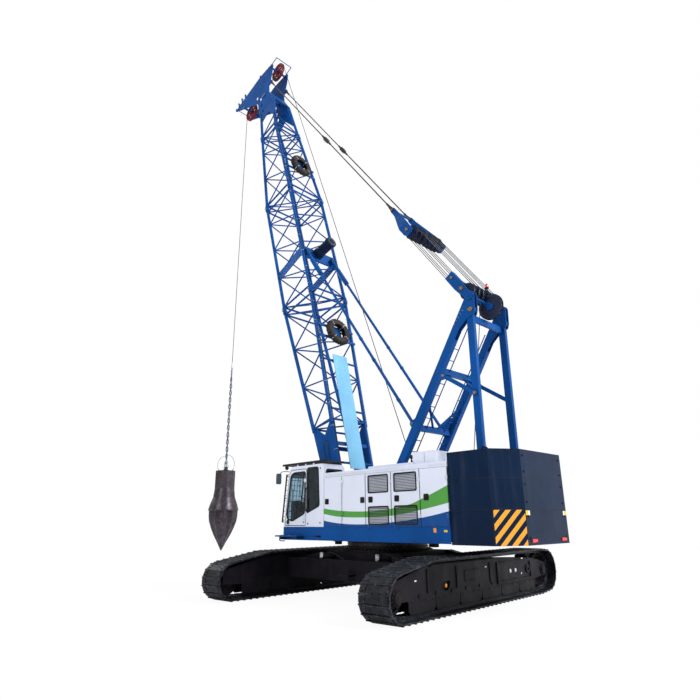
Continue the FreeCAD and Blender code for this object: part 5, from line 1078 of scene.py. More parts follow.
def cabDoorParts():
    # bars across the window, and a grab handle on two posts inside its front edge
    bars = bmesh.new()
    y = half - 0.02
    addBar(bars, (1.815, y, 2.612), (2.585, y, 2.612), 0.012, 0.04, yWay, 0.003)
    addBar(bars, (2.2, y + 0.001, 2.15), (2.2, y + 0.001, 2.6), 0.01, 0.022, yWay, 0.003)
    handle = [(2.555, half - 0.028, 2.3), (2.545, half - 0.075, 2.33), (2.47, half - 0.075, 2.95),
              (2.465, half - 0.028, 2.98)]
    addTube(bars, resampled(handle, 0.05), 0.012, 8, False)
    addPiece("cabDoorBars", bars, "cabPlastic", "cab_side_door")
    ring, knob = blanks(2)
    x, z = 2.585, 2.0
    addRound(ring, (x, half, z), (x, half + 0.006, z), 0.088, 32, 0.002)
    addPiece("doorLatchRing", ring, "whitePaint", "cab_side_door")
    addRound(knob, (x, half + 0.004, z), (x, half + 0.014, z), 0.07, 28, 0.003)
    addBar(knob, (x, half + 0.017, z - 0.035), (x, half + 0.017, z + 0.035), 0.026, 0.012, yWay, 0.003)
    addRound(knob, (1.83, half, 1.99), (1.83, half + 0.01, 1.99), 0.022, 18, 0.003)
    addPiece("doorLatchKnob", knob, "cabPlastic", "cab_side_door")
    edge = bmesh.new()
    leaf = [(1.742, 1.892), (2.738, 1.892), (2.566, 3.42), (2.488, 3.53), (2.31, 3.545), (1.742, 3.545)]
    addFrame(edge, leaf, -0.004, -0.016, (0, half, 0), xWay, zWay, -0.0003, -0.003, 0.05)
    addPiece("cabDoorEdge", edge, "sealRubber", "cab_side_door")
    screws = bmesh.new()
    addBolts(screws, [(x, half + 0.017, z + step) for z in (2.06, 3.14) for step in (0.022, 0.088)
                      for x in (1.757, 1.805)], yWay, 0.008)
    addPiece("cabHingeScrews", screws, "boltSteel", "cab_side_door")


mirrorLook = dict(centre=(2.955, 1.775, 3.3), wide=0.085, tall=0.165, corner=0.05, turn=-18)
lampLook = dict(x=2.83, y=(0.95, 1.53), z=3.655, aim=(1, 0, -0.25))


def cabMirror(fittings):
    # the mirror's arm and shell; its glass comes back to be a piece of its own
    arm = [(2.6, 1.635, 3.5), (2.7, 1.68, 3.52), (2.84, 1.73, 3.52), (2.93, 1.75, 3.47), (2.95, 1.752, 3.4),
           (2.95, 1.752, 3.2)]
    addTube(fittings, resampled(smoothed(arm), 0.03), 0.011, 8, False)
    w, t = mirrorLook["wide"], mirrorLook["tall"]
    outline = roundedOutline(boxOutline(-w, w, -t, t), mirrorLook["corner"])
    turn = radians(mirrorLook["turn"])
    across = Vector((-sin(turn), cos(turn), 0))
    normal, centre = across.cross(zWay), Vector(mirrorLook["centre"])

    def ring(wide, tall, level):
        return [centre + across * p.x * wide + zWay * p.y * tall + normal * level for p in outline]

    shell = ((0.55, 0.035), (0.88, 0.026), (1.0, 0.008), (1.0, -0.01), (0.93, -0.014), (0.91, -0.008))
    addRings(fittings, [ring(share, (1 + share) / 2, level) for share, level in shell])
    glass = bmesh.new()
    addRings(glass, [ring(0.9, 0.95, level) for level in (-0.0085, -0.01)])
    return glass


def cabOutside():
    fittings = bmesh.new()
    for x, z in ((1.09, 3.51), (1.09, 1.97), (1.64, 1.95)):
        addRound(fittings, (x, half - 0.001, z), (x, half + 0.009, z), 0.024, 18, 0.003)
        addRound(fittings, (x, half + 0.008, z), (x, half + 0.014, z), 0.012, 12, 0.002)
    screen = cabMirror(fittings)
    # the wiper's arm and blade on the front window
    rise = (facePoint(3.3) - facePoint(2.0)).normalized()
    base, tip = facePoint(3.36) + Vector((0.022, 1.24, 0)), facePoint(2.72) + Vector((0.022, 1.05, 0))
    addRound(fittings, base - xWay * 0.02, base + xWay * 0.014, 0.022, 14, 0.003)
    addBar(fittings, base, tip, 0.012, 0.014, xWay, 0.002)
    tip -= xWay * 0.01
    addBar(fittings, tip + rise * 0.3, tip - rise * 0.28, 0.012, 0.01, xWay, 0.002)
    # work lamps under the guard's front
    for y in lampLook["y"]:
        addTurned(fittings, [(0, 0.02), (0, 0.045), (0.03, 0.062), (0.055, 0.066), (0.055, 0.058), (0.04, 0.055),
                             (0.04, 0.001), (0.0, 0.001)], (lampLook["x"], y, lampLook["z"]), lampLook["aim"], 24)
        addBar(fittings, (2.85, y, 3.66), (2.85, y, 3.7), 0.03, 0.012, xWay, 0.002)
    # a grid of bars stands off the front window; its outer bars are the thick ones
    stand = xWay * cabLook["guardOut"]
    foot, brow = facePoint(2.0) + stand, facePoint(3.42) + stand
    for i in range(7):
        y = yWay * (0.93 + i * 0.115)
        addRound(fittings, foot + y, brow + y, 0.008 if 0 < i < 6 else 0.024, 8, 0.001)
    for i in range(10):
        spot = foot.lerp(brow, i / 9) + xWay * 0.012
        addRound(fittings, spot + yWay * 0.92, spot + yWay * 1.63, 0.008 if 0 < i < 9 else 0.014, 8, 0.001)
    for share in (0.04, 0.5, 0.96):
        for y in (0.93, 1.615):
            spot = foot.lerp(brow, share) + yWay * y
            addBar(fittings, spot, spot - stand * 1.02, 0.03, 0.03, yWay)
    addPiece("cabFittings", fittings, "cabPlastic")
    addPiece("mirrorGlass", screen, "mirrorScreen")
    glass = bmesh.new()
    for y in lampLook["y"]:
        addTurned(glass, [(0.041, 0.001), (0.041, 0.054), (0.047, 0.052), (0.051, 0.03), (0.053, 0.001)],
                  (lampLook["x"], y, lampLook["z"]), lampLook["aim"], 24)
    addPiece("cabLampGlass", glass, "clearLens")
    # rope grab rail behind the door
    rail = bmesh.new()
    path = [(1.705, half + out, z) for out, z in ((0.002, 2.3), (0.055, 2.33), (0.055, 2.95), (0.002, 2.98))]
    addTube(rail, resampled(smoothed(path), 0.04), 0.013, 10, False)
    addPiece("cabGrabRail", rail, "trimPaint")


def cabInside():
    floor = cabLook["sill"] + 0.046
    bm = bmesh.new()
    addBlock(bm, (1.0, 0.9, floor), (2.7, 1.58, floor + 0.018), 0.006)          # rubber mat
    # side console and its two sticks
    addBlock(bm, (1.1, 0.885, floor), (2.05, 0.955, floor + 0.52), 0.02)
    addBlock(bm, (1.5, 0.885, floor + 0.52), (2.05, 0.965, floor + 0.6), 0.02)
    for x, y in ((1.6, 0.955), (1.6, 1.5)):
        base = Vector((x, y, floor + 0.6))
        addKnob(bm, [(0, 0.045), (0.02, 0.04), (0.05, 0.02), (0.07, 0.014)], base, zWay, 18)
        addRound(bm, base + zWay * 0.06, base + Vector((0.02, 0, 0.17)), 0.011, 10, 0.002)
        addKnob(bm, [(0, 0.018), (0.03, 0.026), (0.08, 0.028), (0.105, 0.02)], base + Vector((0.02, 0, 0.15)),
                (0.15, 0, 1), 16, 0.112)
    # dashboard with hood and screen at the front right, pedals and two travel levers
    addBlock(bm, (2.44, 0.89, floor), (2.6, 1.56, floor + 0.7), 0.03)
    addBlock(bm, (2.36, 0.9, floor + 0.72), (2.46, 1.06, floor + 0.98), 0.02)
    addBar(bm, (2.45, 0.97, floor + 0.66), (2.43, 0.97, floor + 0.76), 0.04, 0.04, xWay, 0.006)
    for y in (1.16, 1.26):
        addRound(bm, (2.3, y, floor + 0.02), (2.22, y, floor + 0.62), 0.01, 10, 0.002)
        addKnob(bm, [(0, 0.016), (0.04, 0.022), (0.09, 0.022)], (2.223, y, floor + 0.6), (-0.13, 0, 1), 14, 0.11)
        addBar(bm, (2.34, y, floor + 0.02), (2.4, y, floor + 0.12), 0.08, 0.015, yWay)
    for y in (1.05, 1.4):
        addBar(bm, (2.3, y, floor + 0.03), (2.4, y, floor + 0.13), 0.09, 0.015, yWay)
    # roof lining with a sun blind roller
    addBlock(bm, (1.02, 0.9, 3.52), (2.28, 1.58, 3.535))
    addRound(bm, (2.45, 0.93, 3.42), (2.45, 1.55, 3.42), 0.022, 14, 0.003)
    # dark panels inside the quarter light, along the far wall and over the posts: painted shade, standing in for the
    # dark inside of the cab
    outline = offsetOutline(roundedOutline(quarterWindow, 0.05), 0.03)
    addPlate(bm, outline, (0, half - 0.052, 0), xWay, zWay, 0.006)
    addBlock(bm, (1.06, 0.878, floor), (2.6, 0.896, 2.7), 0.006)
    addBlock(bm, (1.06, 0.878, 3.44), (2.3, 0.896, 3.53))
    addBlock(bm, (0.978, 0.9, floor), (0.99, 1.58, 2.68))
    addPiece("cabInterior", bm, "cabPlastic")
    bm = bmesh.new()
    addBlock(bm, (2.356, 0.915, floor + 0.745), (2.3595, 1.045, floor + 0.955), 0.001)
    addPiece("cabScreen", bm, "mirrorScreen")


def chairParts():
    # one stitched cushion over the chair's seat: a crowned top with two seams along it
    bm = bmesh.new()
    x0, y0 = cabLook["chair"]
    low, size = Vector((x0 + 0.02, y0 + 0.01, cabLook["seat"])), Vector((0.47, 0.46, 0.045))
    steps, crown, seams = 12, 0.02, (0.2, 0.8)
    top, base = [], []
    for i in range(steps + 1):
        topRow, baseRow = [], []
        for j in range(steps + 1):
            u, v = i / steps, j / steps
            edge = (1 - abs(2 * u - 1) ** 5) * (1 - abs(2 * v - 1) ** 5)
            dip = 0.35 * exp(-(min(abs(v - seam) for seam in seams) / 0.035) ** 2)
            foot = low + Vector((size.x * u, size.y * v, 0))
            baseRow.append(bm.verts.new(foot))
            rise = (0.35 + 0.65 * edge ** 0.5) * size.z * (1 - dip) + crown * edge
            topRow.append(bm.verts.new(foot + zWay * rise))
        top.append(topRow)
        base.append(baseRow)
    for i in range(steps):
        for j in range(steps):
            bm.faces.new((top[i][j], top[i + 1][j], top[i + 1][j + 1], top[i][j + 1]))
            bm.faces.new((base[i][j], base[i][j + 1], base[i + 1][j + 1], base[i + 1][j]))
    last = steps
    rim = ([(i, 0) for i in range(last)] + [(last, j) for j in range(last)]
           + [(i, last) for i in range(last, 0, -1)] + [(0, j) for j in range(last, 0, -1)])
    for (i, j), (k, m) in zip(rim, rim[1:] + rim[:1]):
        bm.faces.new((top[i][j], base[i][j], base[k][m], top[k][m]))
    pad = addPiece("chairCushion", bm, "chairCloth", "upper_works", 60)


cabSeals()
cabDoorParts()
cabOutside()
cabInside()
chairParts()
print("cab done")


# counterweight and winches

weightLook = dict(boltRows=(1.62, 2.08, 2.38, 2.76, 3.04, 3.4), boltY=0.86, seams=(2.225, 2.9), chamferX=-4.56,
                  chamferY=0.97, frontX=-3.5, keeperX=-3.66, tabZ=(2.1, 2.2), lampY=0.7)


def weightParts():
    bolts = bmesh.new()
    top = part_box("counterweight_upper")[1].z
    rear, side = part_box("counterweight_lower")[0].x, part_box("counterweight_lower")[1].y
    addBolts(bolts, [(rear - 0.0005, y, z) for z in weightLook["boltRows"]
                     for y in (-weightLook["boltY"], weightLook["boltY"])], (-1, 0, 0), 0.02)
    x = weightLook["keeperX"]
    for sign in (1, -1):
        for z in weightLook["seams"]:
            # keeper plates across each seam
            addBlock(bolts, (x - 0.06, sign * 1.6205, z - 0.07), (x + 0.06, sign * 1.628, z + 0.07), 0.003)
            addBolts(bolts, [(x, sign * 1.628, z + dz) for dz in (-0.045, 0.045)], (0, sign, 0), 0.012)
    addPiece("weightBolts", bolts, "navyPaint")
    # dark joints between the slabs, all round, and down each corner
    seams = bmesh.new()
    front, corner, flat = weightLook["frontX"], weightLook["chamferX"], weightLook["chamferY"]
    outline = [(front, side), (corner, side), (rear, flat), (rear, -flat), (corner, -side), (front, -side)]
    for z in weightLook["seams"]:
        for (x0, y0), (x1, y1) in zip(outline, outline[1:]):
            addBar(seams, (x0, y0, z), (x1, y1, z), 0.004, 0.012, zWay, 0.001)
    for y in (side, -side):
        addBar(seams, (corner, y, 1.5), (corner, y, top - 0.03), 0.004, 0.006, yWay, 0.001)
    addPiece("weightSeams", seams, "sealRubber")
    # a reflecting tab on each chamfer's edge, with a white end
    z0, z1 = weightLook["tabZ"]
    for name, finish, inner, outer in (("weightTab", "yellowTape", 0.85, flat),
                                       ("weightTabEnd", "whitePaint", 0.79, 0.85)):
        tab = bmesh.new()
        for sign in (1, -1):
            addBlock(tab, (rear - 0.006, sign * inner, z0), (rear - 0.0005, sign * outer, z1), 0.002)
        addPiece(name, tab, finish)
    lamps = bmesh.new()
    for y in (-weightLook["lampY"], weightLook["lampY"]):
        addBlock(lamps, (rear - 0.022, y - 0.11, 1.53), (rear - 0.0005, y + 0.11, 1.6), 0.006)
    addPiece("rearLamps", lamps, "redLens")


drums = {"hoist": dict(x=-1.15, z=2.48, node="hoist_winch_drum", body="hoist_drum"),
         "luff": dict(x=-3.25, z=2.38, node="luffing_winch_drum", body="luffing_drum")}
drumLook = dict(core=0.23, halfLong=0.44, layers=2, rope=0.013, steps=18, ropeAt=0.28)


def drumRope(name, body, x, z):
    # the outer of the drum's layers of rope, wound turn beside turn
    radius, outer = drumLook["rope"], drumLook["layers"] - 1
    turns = int((2 * drumLook["halfLong"] - 0.05) / (2 * radius)) - outer
    r = drumLook["core"] + radius + outer * radius * 1.75
    start = -drumLook["halfLong"] + 0.03 + outer * radius
    bm, points = bmesh.new(), []
    for i in range(turns * drumLook["steps"] + 1):
        share = i / drumLook["steps"]
        turn = 2 * pi * share
        points.append((x + r * cos(turn), start + share * 2 * radius, z + r * sin(turn)))
    addTube(bm, points, radius, 6)
    addPiece(name, bm, "wireRope", body, 60)


def winchParts():
    for name, drum in drums.items():
        drumRope(name + "DrumRope", drum["body"], drum["x"], drum["z"])
    for name, drum in drums.items():
        bolts = bmesh.new()
        low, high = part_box(drum["node"])
        for y, away in ((low.y, -1), (high.y, 1)):
            spots = ringSpots((drum["x"], y + away * 0.0005, drum["z"]), xWay, zWay, 0.15, 12)
            addBolts(bolts, spots, (0, away, 0), 0.01)
        addPiece(name + "DrumBolts", bolts, "boltSteel", drum["body"])


weightParts()
winchParts()
print("counterweight and winches done")


# gantry: pins, bolts and the lamp on top

gantry = dict(apex=(-3.93, 7.67), frontFoot=(-0.42, 2.06), backFoot=(-3.89, 2.06), backPin=(-3.95, 7.28),
              sidePins=((-2.95, 5.67), (-3.88, 5.05)), lamp=(-4.00, 0.03), face=0.8605)


def gantryParts():
    pins, bolts = blanks(2)
    ends = ((gantry["frontFoot"], 0.888, 0.043, 0.02), (gantry["backFoot"], 0.888, 0.056, 0.02),
            (gantry["backPin"], 0.862, 0.06, 0.03))
    for s in (1, -1):
        for (x, z), y, r, out in ends:
            spot = Vector((x, s * y, z))
            addRound(pins, spot, spot + yWay * s * out, r, 24, 0.006)
            addKeeper(pins, spot + yWay * s * (out + 0.004), yWay, xWay, r * 1.25, r * 0.7)
            for end in (-r, r):
                addBolt(bolts, (x + end, s * (y + out + 0.008), z), (0, s, 0), 0.009)
        for x, z in gantry["sidePins"]:
            addRound(pins, (x, s * 0.8805, z), (x, s * 0.9, z), 0.038, 20, 0.005)
    addPiece("gantryPins", pins, "pinPaint")
    # bolts round the head plates and down the back legs
    x, z = gantry["apex"]
    for s in (1, -1):
        y = s * gantry["face"]
        addBolts(bolts, ringSpots((x, y, z), xWay, zWay, 0.118, 7, 0.3), (0, s, 0), 0.01)
        addBolts(bolts, [(-3.7 + 0.0728 * i, y, 7.32 - 0.077 * i) for i in range(5)], (0, s, 0), 0.012)
    addPiece("gantryBolts", bolts, "boltSteel")
    # warning lamp on its stalk above the apex
    stalk, lens = blanks(2)
    x, y = gantry["lamp"]
    addRound(stalk, (x - 0.05, y, 7.92), (x, y, 8.12), 0.012, 10, 0.002)
    addKnob(stalk, [(0, 0.05), (0.02, 0.055), (0.03, 0.045)], (x, y, 8.11), zWay)
    addPiece("gantryLampStalk", stalk, "trimPaint")
    addKnob(lens, [(0, 0.045), (0.05, 0.044), (0.09, 0.034), (0.115, 0.014)], (x, y, 8.139), zWay, 24, 0.118)
    addPiece("gantryLampLens", lens, "redLens")


def pinsOnLine():
    # ends of the sheave shafts, kept by plates
    for name, body, reach, y, r in (("framePins", "luffing_frame", 0.32, 0.909, 0.05),
                                    ("frameTiePins", "luffing_frame", 0.82, 0.909, 0.04),
                                    ("bailPins", "floating_bail", 3.48, 0.861, 0.05),
                                    ("bailEndPins", "floating_bail", 5.0, 0.506, 0.036)):
        bm = bmesh.new()
        for s in (1, -1):
            spot = linePoint(reach, 0, s * y)
            addRound(bm, spot, spot + yWay * s * 0.018, r)
            addKeeper(bm, spot + yWay * s * 0.021, yWay, lineRun, r * 1.3, r * 0.8)
            addBolts(bm, [spot + yWay * s * 0.025 + lineRun * end for end in (-r, r)], (0, s, 0), 0.009)
        addPiece(name, bm, "pinPaint", body)


gantryParts()
pinsOnLine()
print("gantry done")


# ropes, sling and safety wires

reeve = dict(rows=(0.16, 0.37, 0.58), frameReach=0.32, frameRound=0.212, bailReach=3.48, bailRound=0.202, rope=0.011)


def reeving():
    # parts of rope that run between the frame's sheaves and the bail's, once round for each row
    bm = bmesh.new()
    for row in [sign * y for sign in (-1, 1) for y in reeve["rows"]]:
        points = []
        for reach, r, first in ((reeve["frameReach"], reeve["frameRound"], 0.5),
                                (reeve["bailReach"], reeve["bailRound"], -0.5)):
            for i in range(13):
                turn = pi * (first + i / 12)
                points.append(linePoint(reach + r * cos(turn), r * sin(turn), row))
        addTube(bm, resampled(points + [points[0]], 0.25), reeve["rope"])
    piece = addPiece("luffingReeve", bm, "wireRope", None, 60)
    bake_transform(piece)


def tangent(centre, radius, towards, side):
    # where a rope from a far point touches a sheave; side picks the touch point
    away = Vector((towards.x - centre.x, 0, towards.z - centre.z))
    turn = atan2(away.z, away.x) + side * acos(radius / away.length)
    return centre + Vector((radius * cos(turn), 0, radius * sin(turn)))


def outerTangents(a, radiusA, b, radiusB, side):
    # where a rope leaves one round and meets the next, with both on the same side of it
    away = Vector((b.x - a.x, 0, b.z - a.z))
    turn = atan2(away.z, away.x) + side * acos((radiusA - radiusB) / away.length)
    out = Vector((cos(turn), 0, sin(turn)))
    return a + out * radiusA, b + out * radiusB


def arcBetween(centre, radius, start, end, way):
    # the rope's path round a sheave, from one touch point to the other
    a = atan2(start.z - centre.z, start.x - centre.x)
    b = atan2(end.z - centre.z, end.x - centre.x)
    while way > 0 and b < a:
        b += 2 * pi
    while way < 0 and b > a:
        b -= 2 * pi
    count = max(3, int(abs(b - a) / 0.2))
    path = []
    for i in range(count + 1):
        turn, drift = a + (b - a) * i / count, (end.y - start.y) * i / count
        path.append(centre + Vector((radius * cos(turn), drift, radius * sin(turn))))
    return path


hoist = dict(rope=0.014, sheave=0.45 - 0.04 + 0.022, rearSheave=(21.69, -0.76), frontSheave=(21.33, 1.64),
             slingTop=8.47, slingRope=0.034, slingTurns=7)
# slack safety wires round the sling: the way each leans, how far out it lands and how high it stands
wireLoops = ((0.7, 0.3, 0.62), (3.84, 0.3, 0.66), (2.4, 0.26, 0.42), (5.5, 0.26, 0.46))


def hoistRopes():
    rear, front = boomPoint(*hoist["rearSheave"]), boomPoint(*hoist["frontSheave"])
    drum = Vector((drums["hoist"]["x"], 0, drums["hoist"]["z"]))
    r = hoist["sheave"]
    leave, touch = outerTangents(drum, drumLook["ropeAt"], rear, r, 1)
    over, down = outerTangents(rear, r, front, r, 1)
    rope = bmesh.new()
    addLaid(rope, [leave, touch], hoist["rope"], 6, 0.3, 6, 4)
    piece = addPiece("winchRope", rope, "wireRope", None, 60)
    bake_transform(piece)
    rope = bmesh.new()
    path = arcBetween(rear, r, touch, over, -1) + arcBetween(front, r, down, front + xWay * r, -1)
    addTube(rope, resampled(path, 0.08), hoist["rope"])
    addPiece("headRope", rope, "wireRope", "boom", 60)
    low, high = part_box("hoist_rope")
    x = (low.x + high.x) / 2
    top = hoist["slingTop"]
    rope = bmesh.new()
    addLaid(rope, [(x, 0, front.z), (x, 0, top + 0.16)], hoist["rope"], 6, 0.25, 8)
    fall = addPiece("hoistFall", rope, "wireRope", None, 60)
    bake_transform(fall)
    slingParts(x, top)
    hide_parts("hoist_rope")


def slingParts(x, top):
    # socket, swivel and the plaited sling down to the hammer's eye
    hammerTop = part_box("hammer")[1].z
    eye = hammerTop - 0.055
    socket = bmesh.new()
    addKnob(socket, [(0, 0.02), (0.05, 0.024), (0.2, 0.04), (0.24, 0.044), (0.27, 0.04)], (x, 0, top + 0.33),
            -zWay)
    addTorus(socket, (x, 0, top + 0.02), yWay, 0.052, 0.018, 24, 10)
    addBar(socket, (x, -0.03, top + 0.065), (x, 0.03, top + 0.065), 0.03, 0.03, xWay, 0.006)
    addPiece("ropeSocket", socket, "galvanised", "rammer", 50)
    sling = bmesh.new()
    steps = 110
    for k in (0, 1):
        path = []
        for t in [i / steps for i in range(steps + 1)]:
            turn = 2 * pi * hoist["slingTurns"] * t + pi * k
            spread = 0.03 * min(1, 6 * t, 6 * (1 - t)) + 0.004
            path.append((x + spread * cos(turn), spread * sin(turn), top - 0.02 - (top - eye) * t))
        addLaid(sling, path, hoist["slingRope"] * 0.8, 5, 0.16, 8, 5, k)
    addPiece("hammerSling", sling, "slingRope", "rammer", 60)
    # a shackle through the hammer's eye, and two sleeves where the sling's ends turn back
    shackle = bmesh.new()
    addTorus(shackle, (x, 0, eye + 0.015), xWay, 0.075, 0.024, 28, 10)
    for z in (eye + 0.16, eye + 0.12):
        addTurned(shackle, [(0, 0.03), (0.14, 0.034), (0.14, 0.05), (0, 0.05)], (x, 0, z), zWay, 20)
    addPiece("slingShackle", shackle, "galvanised", "rammer", 50)
    # slack safety loops of thin wire from the sling's foot out to the neck's rim
    wires = bmesh.new()
    neck = hammerTop - 0.165
    for turn, reach, high in wireLoops:
        out, foot = Vector((cos(turn), sin(turn), 0)), Vector((x, 0, neck))
        path = [foot + out * o + zWay * z for o, z in ((0.03, high), (0.2, high * 0.96), (0.36, high * 0.62),
                                                       (0.36, high * 0.25), (reach, 0.004))]
        addTube(wires, smoothed(path), 0.008, 6)
        foot += out * reach
        addRound(wires, foot - zWay * 0.002, foot + zWay * 0.05, 0.02, 12)
    addPiece("hammerWires", wires, "wireRope", "rammer", 60)


def luffRopes():
    # from the luffing drum up over the guide sheave to the first of the frame's sheaves
    guide = Vector((-4.05, 0, 7.55))
    drum = Vector((drums["luff"]["x"], 0, drums["luff"]["z"]))
    r = 0.37 - 0.028
    leave, touch = outerTangents(drum, drumLook["ropeAt"], guide, r, -1)
    lead = tangent(guide, r, linePoint(reeve["frameReach"], reeve["frameRound"]), 1)
    rope = bmesh.new()
    addTube(rope, resampled([leave, touch] + arcBetween(guide, r, touch, lead, 1)[1:], 0.2), reeve["rope"])
    addPiece("luffingLead", rope, "wireRope", "upper_works", 60)


reeving()
hoistRopes()
luffRopes()
print("ropes done")


# boom: pins, cable, tyres, head and backstops

# the boom's sections: where each starts along it, with half its depth and half its width between the chords
stations = {0.0: (0.26, 0.73), 7.97: (0.78, 0.86), 13.26: (0.78, 0.86), 17.57: (0.52, 0.66), 19.5: (0.52, 0.66)}
boomLook = dict(pinRuns=(7.97, 13.26, 17.57), pin=0.034, cableFrom=1.2, clipStep=0.78, clips=22,
                cableRuns=(1.0, 2.5, 4, 5.5, 7, 7.9, 9, 10.5, 12, 13.2, 14.5, 16, 17.5, 18.4),
                plateRun=2.08, buffer=(10.0, -1.56))


def boomHalf(run):
    # half depth and half width of the chord lines at a length up the boom
    runs = sorted(stations)
    for low, high in zip(runs, runs[1:]):
        if run < high:
            break
    t = min(1, (run - low) / (high - low))
    (deepLow, wideLow), (deepHigh, wideHigh) = stations[low], stations[high]
    return deepLow + (deepHigh - deepLow) * t, wideLow + (wideHigh - wideLow) * t


def boomParts():
    pins, bolts = blanks(2)
    for run in boomLook["pinRuns"]:
        deep, wide = boomHalf(run)
        for s, d in ((1, 1), (1, -1), (-1, 1), (-1, -1)):
            spot = boomPoint(run, d * deep, s * wide)
            addRound(pins, spot - yWay * 0.105, spot + yWay * 0.105, boomLook["pin"], 18, 0.006)
            for end in (-0.112, 0.112):
                addKeeper(bolts, spot + yWay * end, yWay, boomOut, 0.045, 0.028)
    addPiece("boomPins", pins, "pinPaint", "boom")
    for s in (1, -1):
        spot = boomPoint(0, 0, s * (stations[0.0][1] + 0.046))
        addBolts(bolts, ringSpots(spot, xWay, zWay, 0.075, 6), (0, s, 0), 0.009)
    addPiece("boomPinKeepers", bolts, "boltSteel", "boom")
    ribs = bmesh.new()
    middle = boomPoint(boomLook["plateRun"], 0.03)
    for s in (1, -1):
        for scale, thick in ((1.0, 0.02), (0.62, 0.014)):
            corners = [(-0.33, -0.1), (0.33, -0.15), (0.33, 0.13), (-0.33, 0.1)]
            outline = roundedOutline([(u * scale, v * scale) for u, v in corners], 0.09 * scale)
            addFrame(ribs, outline, thick / 2, -thick / 2, (middle.x, s * 0.7705, middle.z), boomRun, boomOut,
                     0.006 * s, -0.002 * s, 0.03)
    addPiece("footPlateRibs", ribs, "trimPaint", "boom")
    # a cable clipped along a chord up to the head lamp; it weaves a little between its clips
    cable, path = bmesh.new(), []
    for run in boomLook["cableRuns"]:
        deep, wide = boomHalf(run)
        path.append(boomPoint(run, -deep - 0.075 + 0.004 * sin(run * 9), wide - 0.035 + 0.01 * sin(run * 5)))
    addTube(cable, smoothed(path, 2), 0.012)
    addPiece("boomCable", cable, "sealRubber", "boom", 60)
    clips = bmesh.new()
    for i in range(boomLook["clips"]):
        run = boomLook["cableFrom"] + i * boomLook["clipStep"]
        if min(abs(run - station) for station in stations) > 0.12:
            deep, wide = boomHalf(run)
            addTorus(clips, boomPoint(run, -deep, wide), boomRun, 0.066, 0.006, 24, 6)
    addPiece("boomCableClips", clips, "galvanised", "boom", 60)


tyreLook = dict(rim=0.27, outer=0.5, half=0.115, runs=(6.3, 14.87), lugs=26, chains=4, link=0.034, wire=0.0048)


def fenderTyre(bm, centre):
    rim, outer, h = tyreLook["rim"], tyreLook["outer"], tyreLook["half"]
    # half the wall's section as (share of the half width, radius): up the outside and down the inside
    outside = [(0.62, rim), (0.8, rim + 0.012), (0.88, rim + 0.045), (1, rim + 0.1), (0.99, outer - 0.085),
               (0.86, outer - 0.035), (0.66, outer - 0.016)]
    inside = [(0.5, rim + 0.03), (0.72, rim + 0.1), (0.62, outer - 0.06)]
    wall = ([(-h * w, r) for w, r in outside] + [(h * w, r) for w, r in reversed(outside)]
            + [(h * w, r) for w, r in inside] + [(-h * w, r) for w, r in reversed(inside)])
    addTurned(bm, wall, centre, boomOut, 72)
    axis, side, rise = squareTo(boomOut)

    def onTread(along, turn, r):
        return centre + axis * along + (side * cos(turn) + rise * sin(turn)) * r

    # lugs in two rows, staggered, each turned over the shoulder
    for i in range(tyreLook["lugs"]):
        for hand in (-1, 1):
            turn = 2 * pi * (i + (0.5 if hand > 0 else 0)) / tyreLook["lugs"]
            rings = []
            for a, r0, r1 in ((0.006, outer - 0.022, outer), (h * 0.6, outer - 0.022, outer),
                              (h * 0.85, outer - 0.042, outer - 0.014), (h * 0.97, outer - 0.085, outer - 0.062)):
                t = turn + 0.1 * hand * a / h
                rings.append([onTread(hand * a, t + dt, r) for dt, r in ((-0.055, r0), (0.055, r0), (0.048, r1),
                                                                         (-0.048, r1))])
            addRings(bm, rings)


def chainLink(bm, start, end, flat):
    # one oval link between two places, lying in the plane of flat
    middle, way = (start + end) / 2, (end - start).normalized()
    oval = [middle + way * 0.024 * cos(turn) + flat * 0.013 * sin(turn) for turn in turnsRound(10)]
    rings = []
    for i, p in enumerate(oval):
        _, across, up = squareTo(oval[(i + 1) % 10] - oval[i - 1], way.cross(flat))
        rings.append(ringSpots(p, across, up, tyreLook["wire"], 5))
    addRings(bm, rings, closed=True)


def fenderTyres():
    bm, chains = blanks(2)
    rim, outer = tyreLook["rim"], tyreLook["outer"]
    axis, side, rise = squareTo(boomOut)
    lashing = [(0.118, rim + 0.02), (0.121, rim + 0.12), (0.115, outer - 0.09), (0.06, outer - 0.004),
               (0.0, outer + 0.006), (-0.06, outer - 0.004), (-0.118, outer - 0.09), (-0.123, rim + 0.12),
               (-0.1, rim), (0.0, rim + 0.008), (0.1, rim), (0.118, rim + 0.02)]
    for run in tyreLook["runs"]:
        centre = boomPoint(run, -boomHalf(run)[0] - 0.0823 - tyreLook["half"])
        fenderTyre(bm, centre)
        # chain lashings round the tyre's section
        for out in ringSpots((0, 0, 0), side, rise, 1, tyreLook["chains"], pi / 4):
            loop = smoothed([centre + axis * a * 1.02 + out * r for a, r in lashing], 2)
            links = resampled(loop, tyreLook["link"])
            for n, (start, end) in enumerate(zip(links, links[1:])):
                _, level, upright = squareTo(end - start)
                chainLink(chains, start, end, level if n % 2 else upright)
    piece = addPiece("fenderTyres", bm, "tyreRubber", "boom", 40)
    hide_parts("boom_tyres")
    addPiece("tyreChains", chains, "galvanised", "boom", 60)


headLook = dict(sheaves=(("rear_head_sheave", "head_sheave_rear", hoist["rearSheave"]),
                         ("front_head_sheave", "head_sheave_front", hoist["frontSheave"])),
                pendantPin=(20.45, 0.06), lampAt=(21.93, 0.06, 0.45), plateY=0.505, studY=0.4655,
                studs=((21.1, 1.95), (20.9, 1.25), (21.62, 1.3), (21.65, 0.72), (21.3, 0.2), (20.95, -0.35),
                       (19.75, 0.55), (19.75, -0.45), (20.2, 0.55), (21.55, -0.35)))


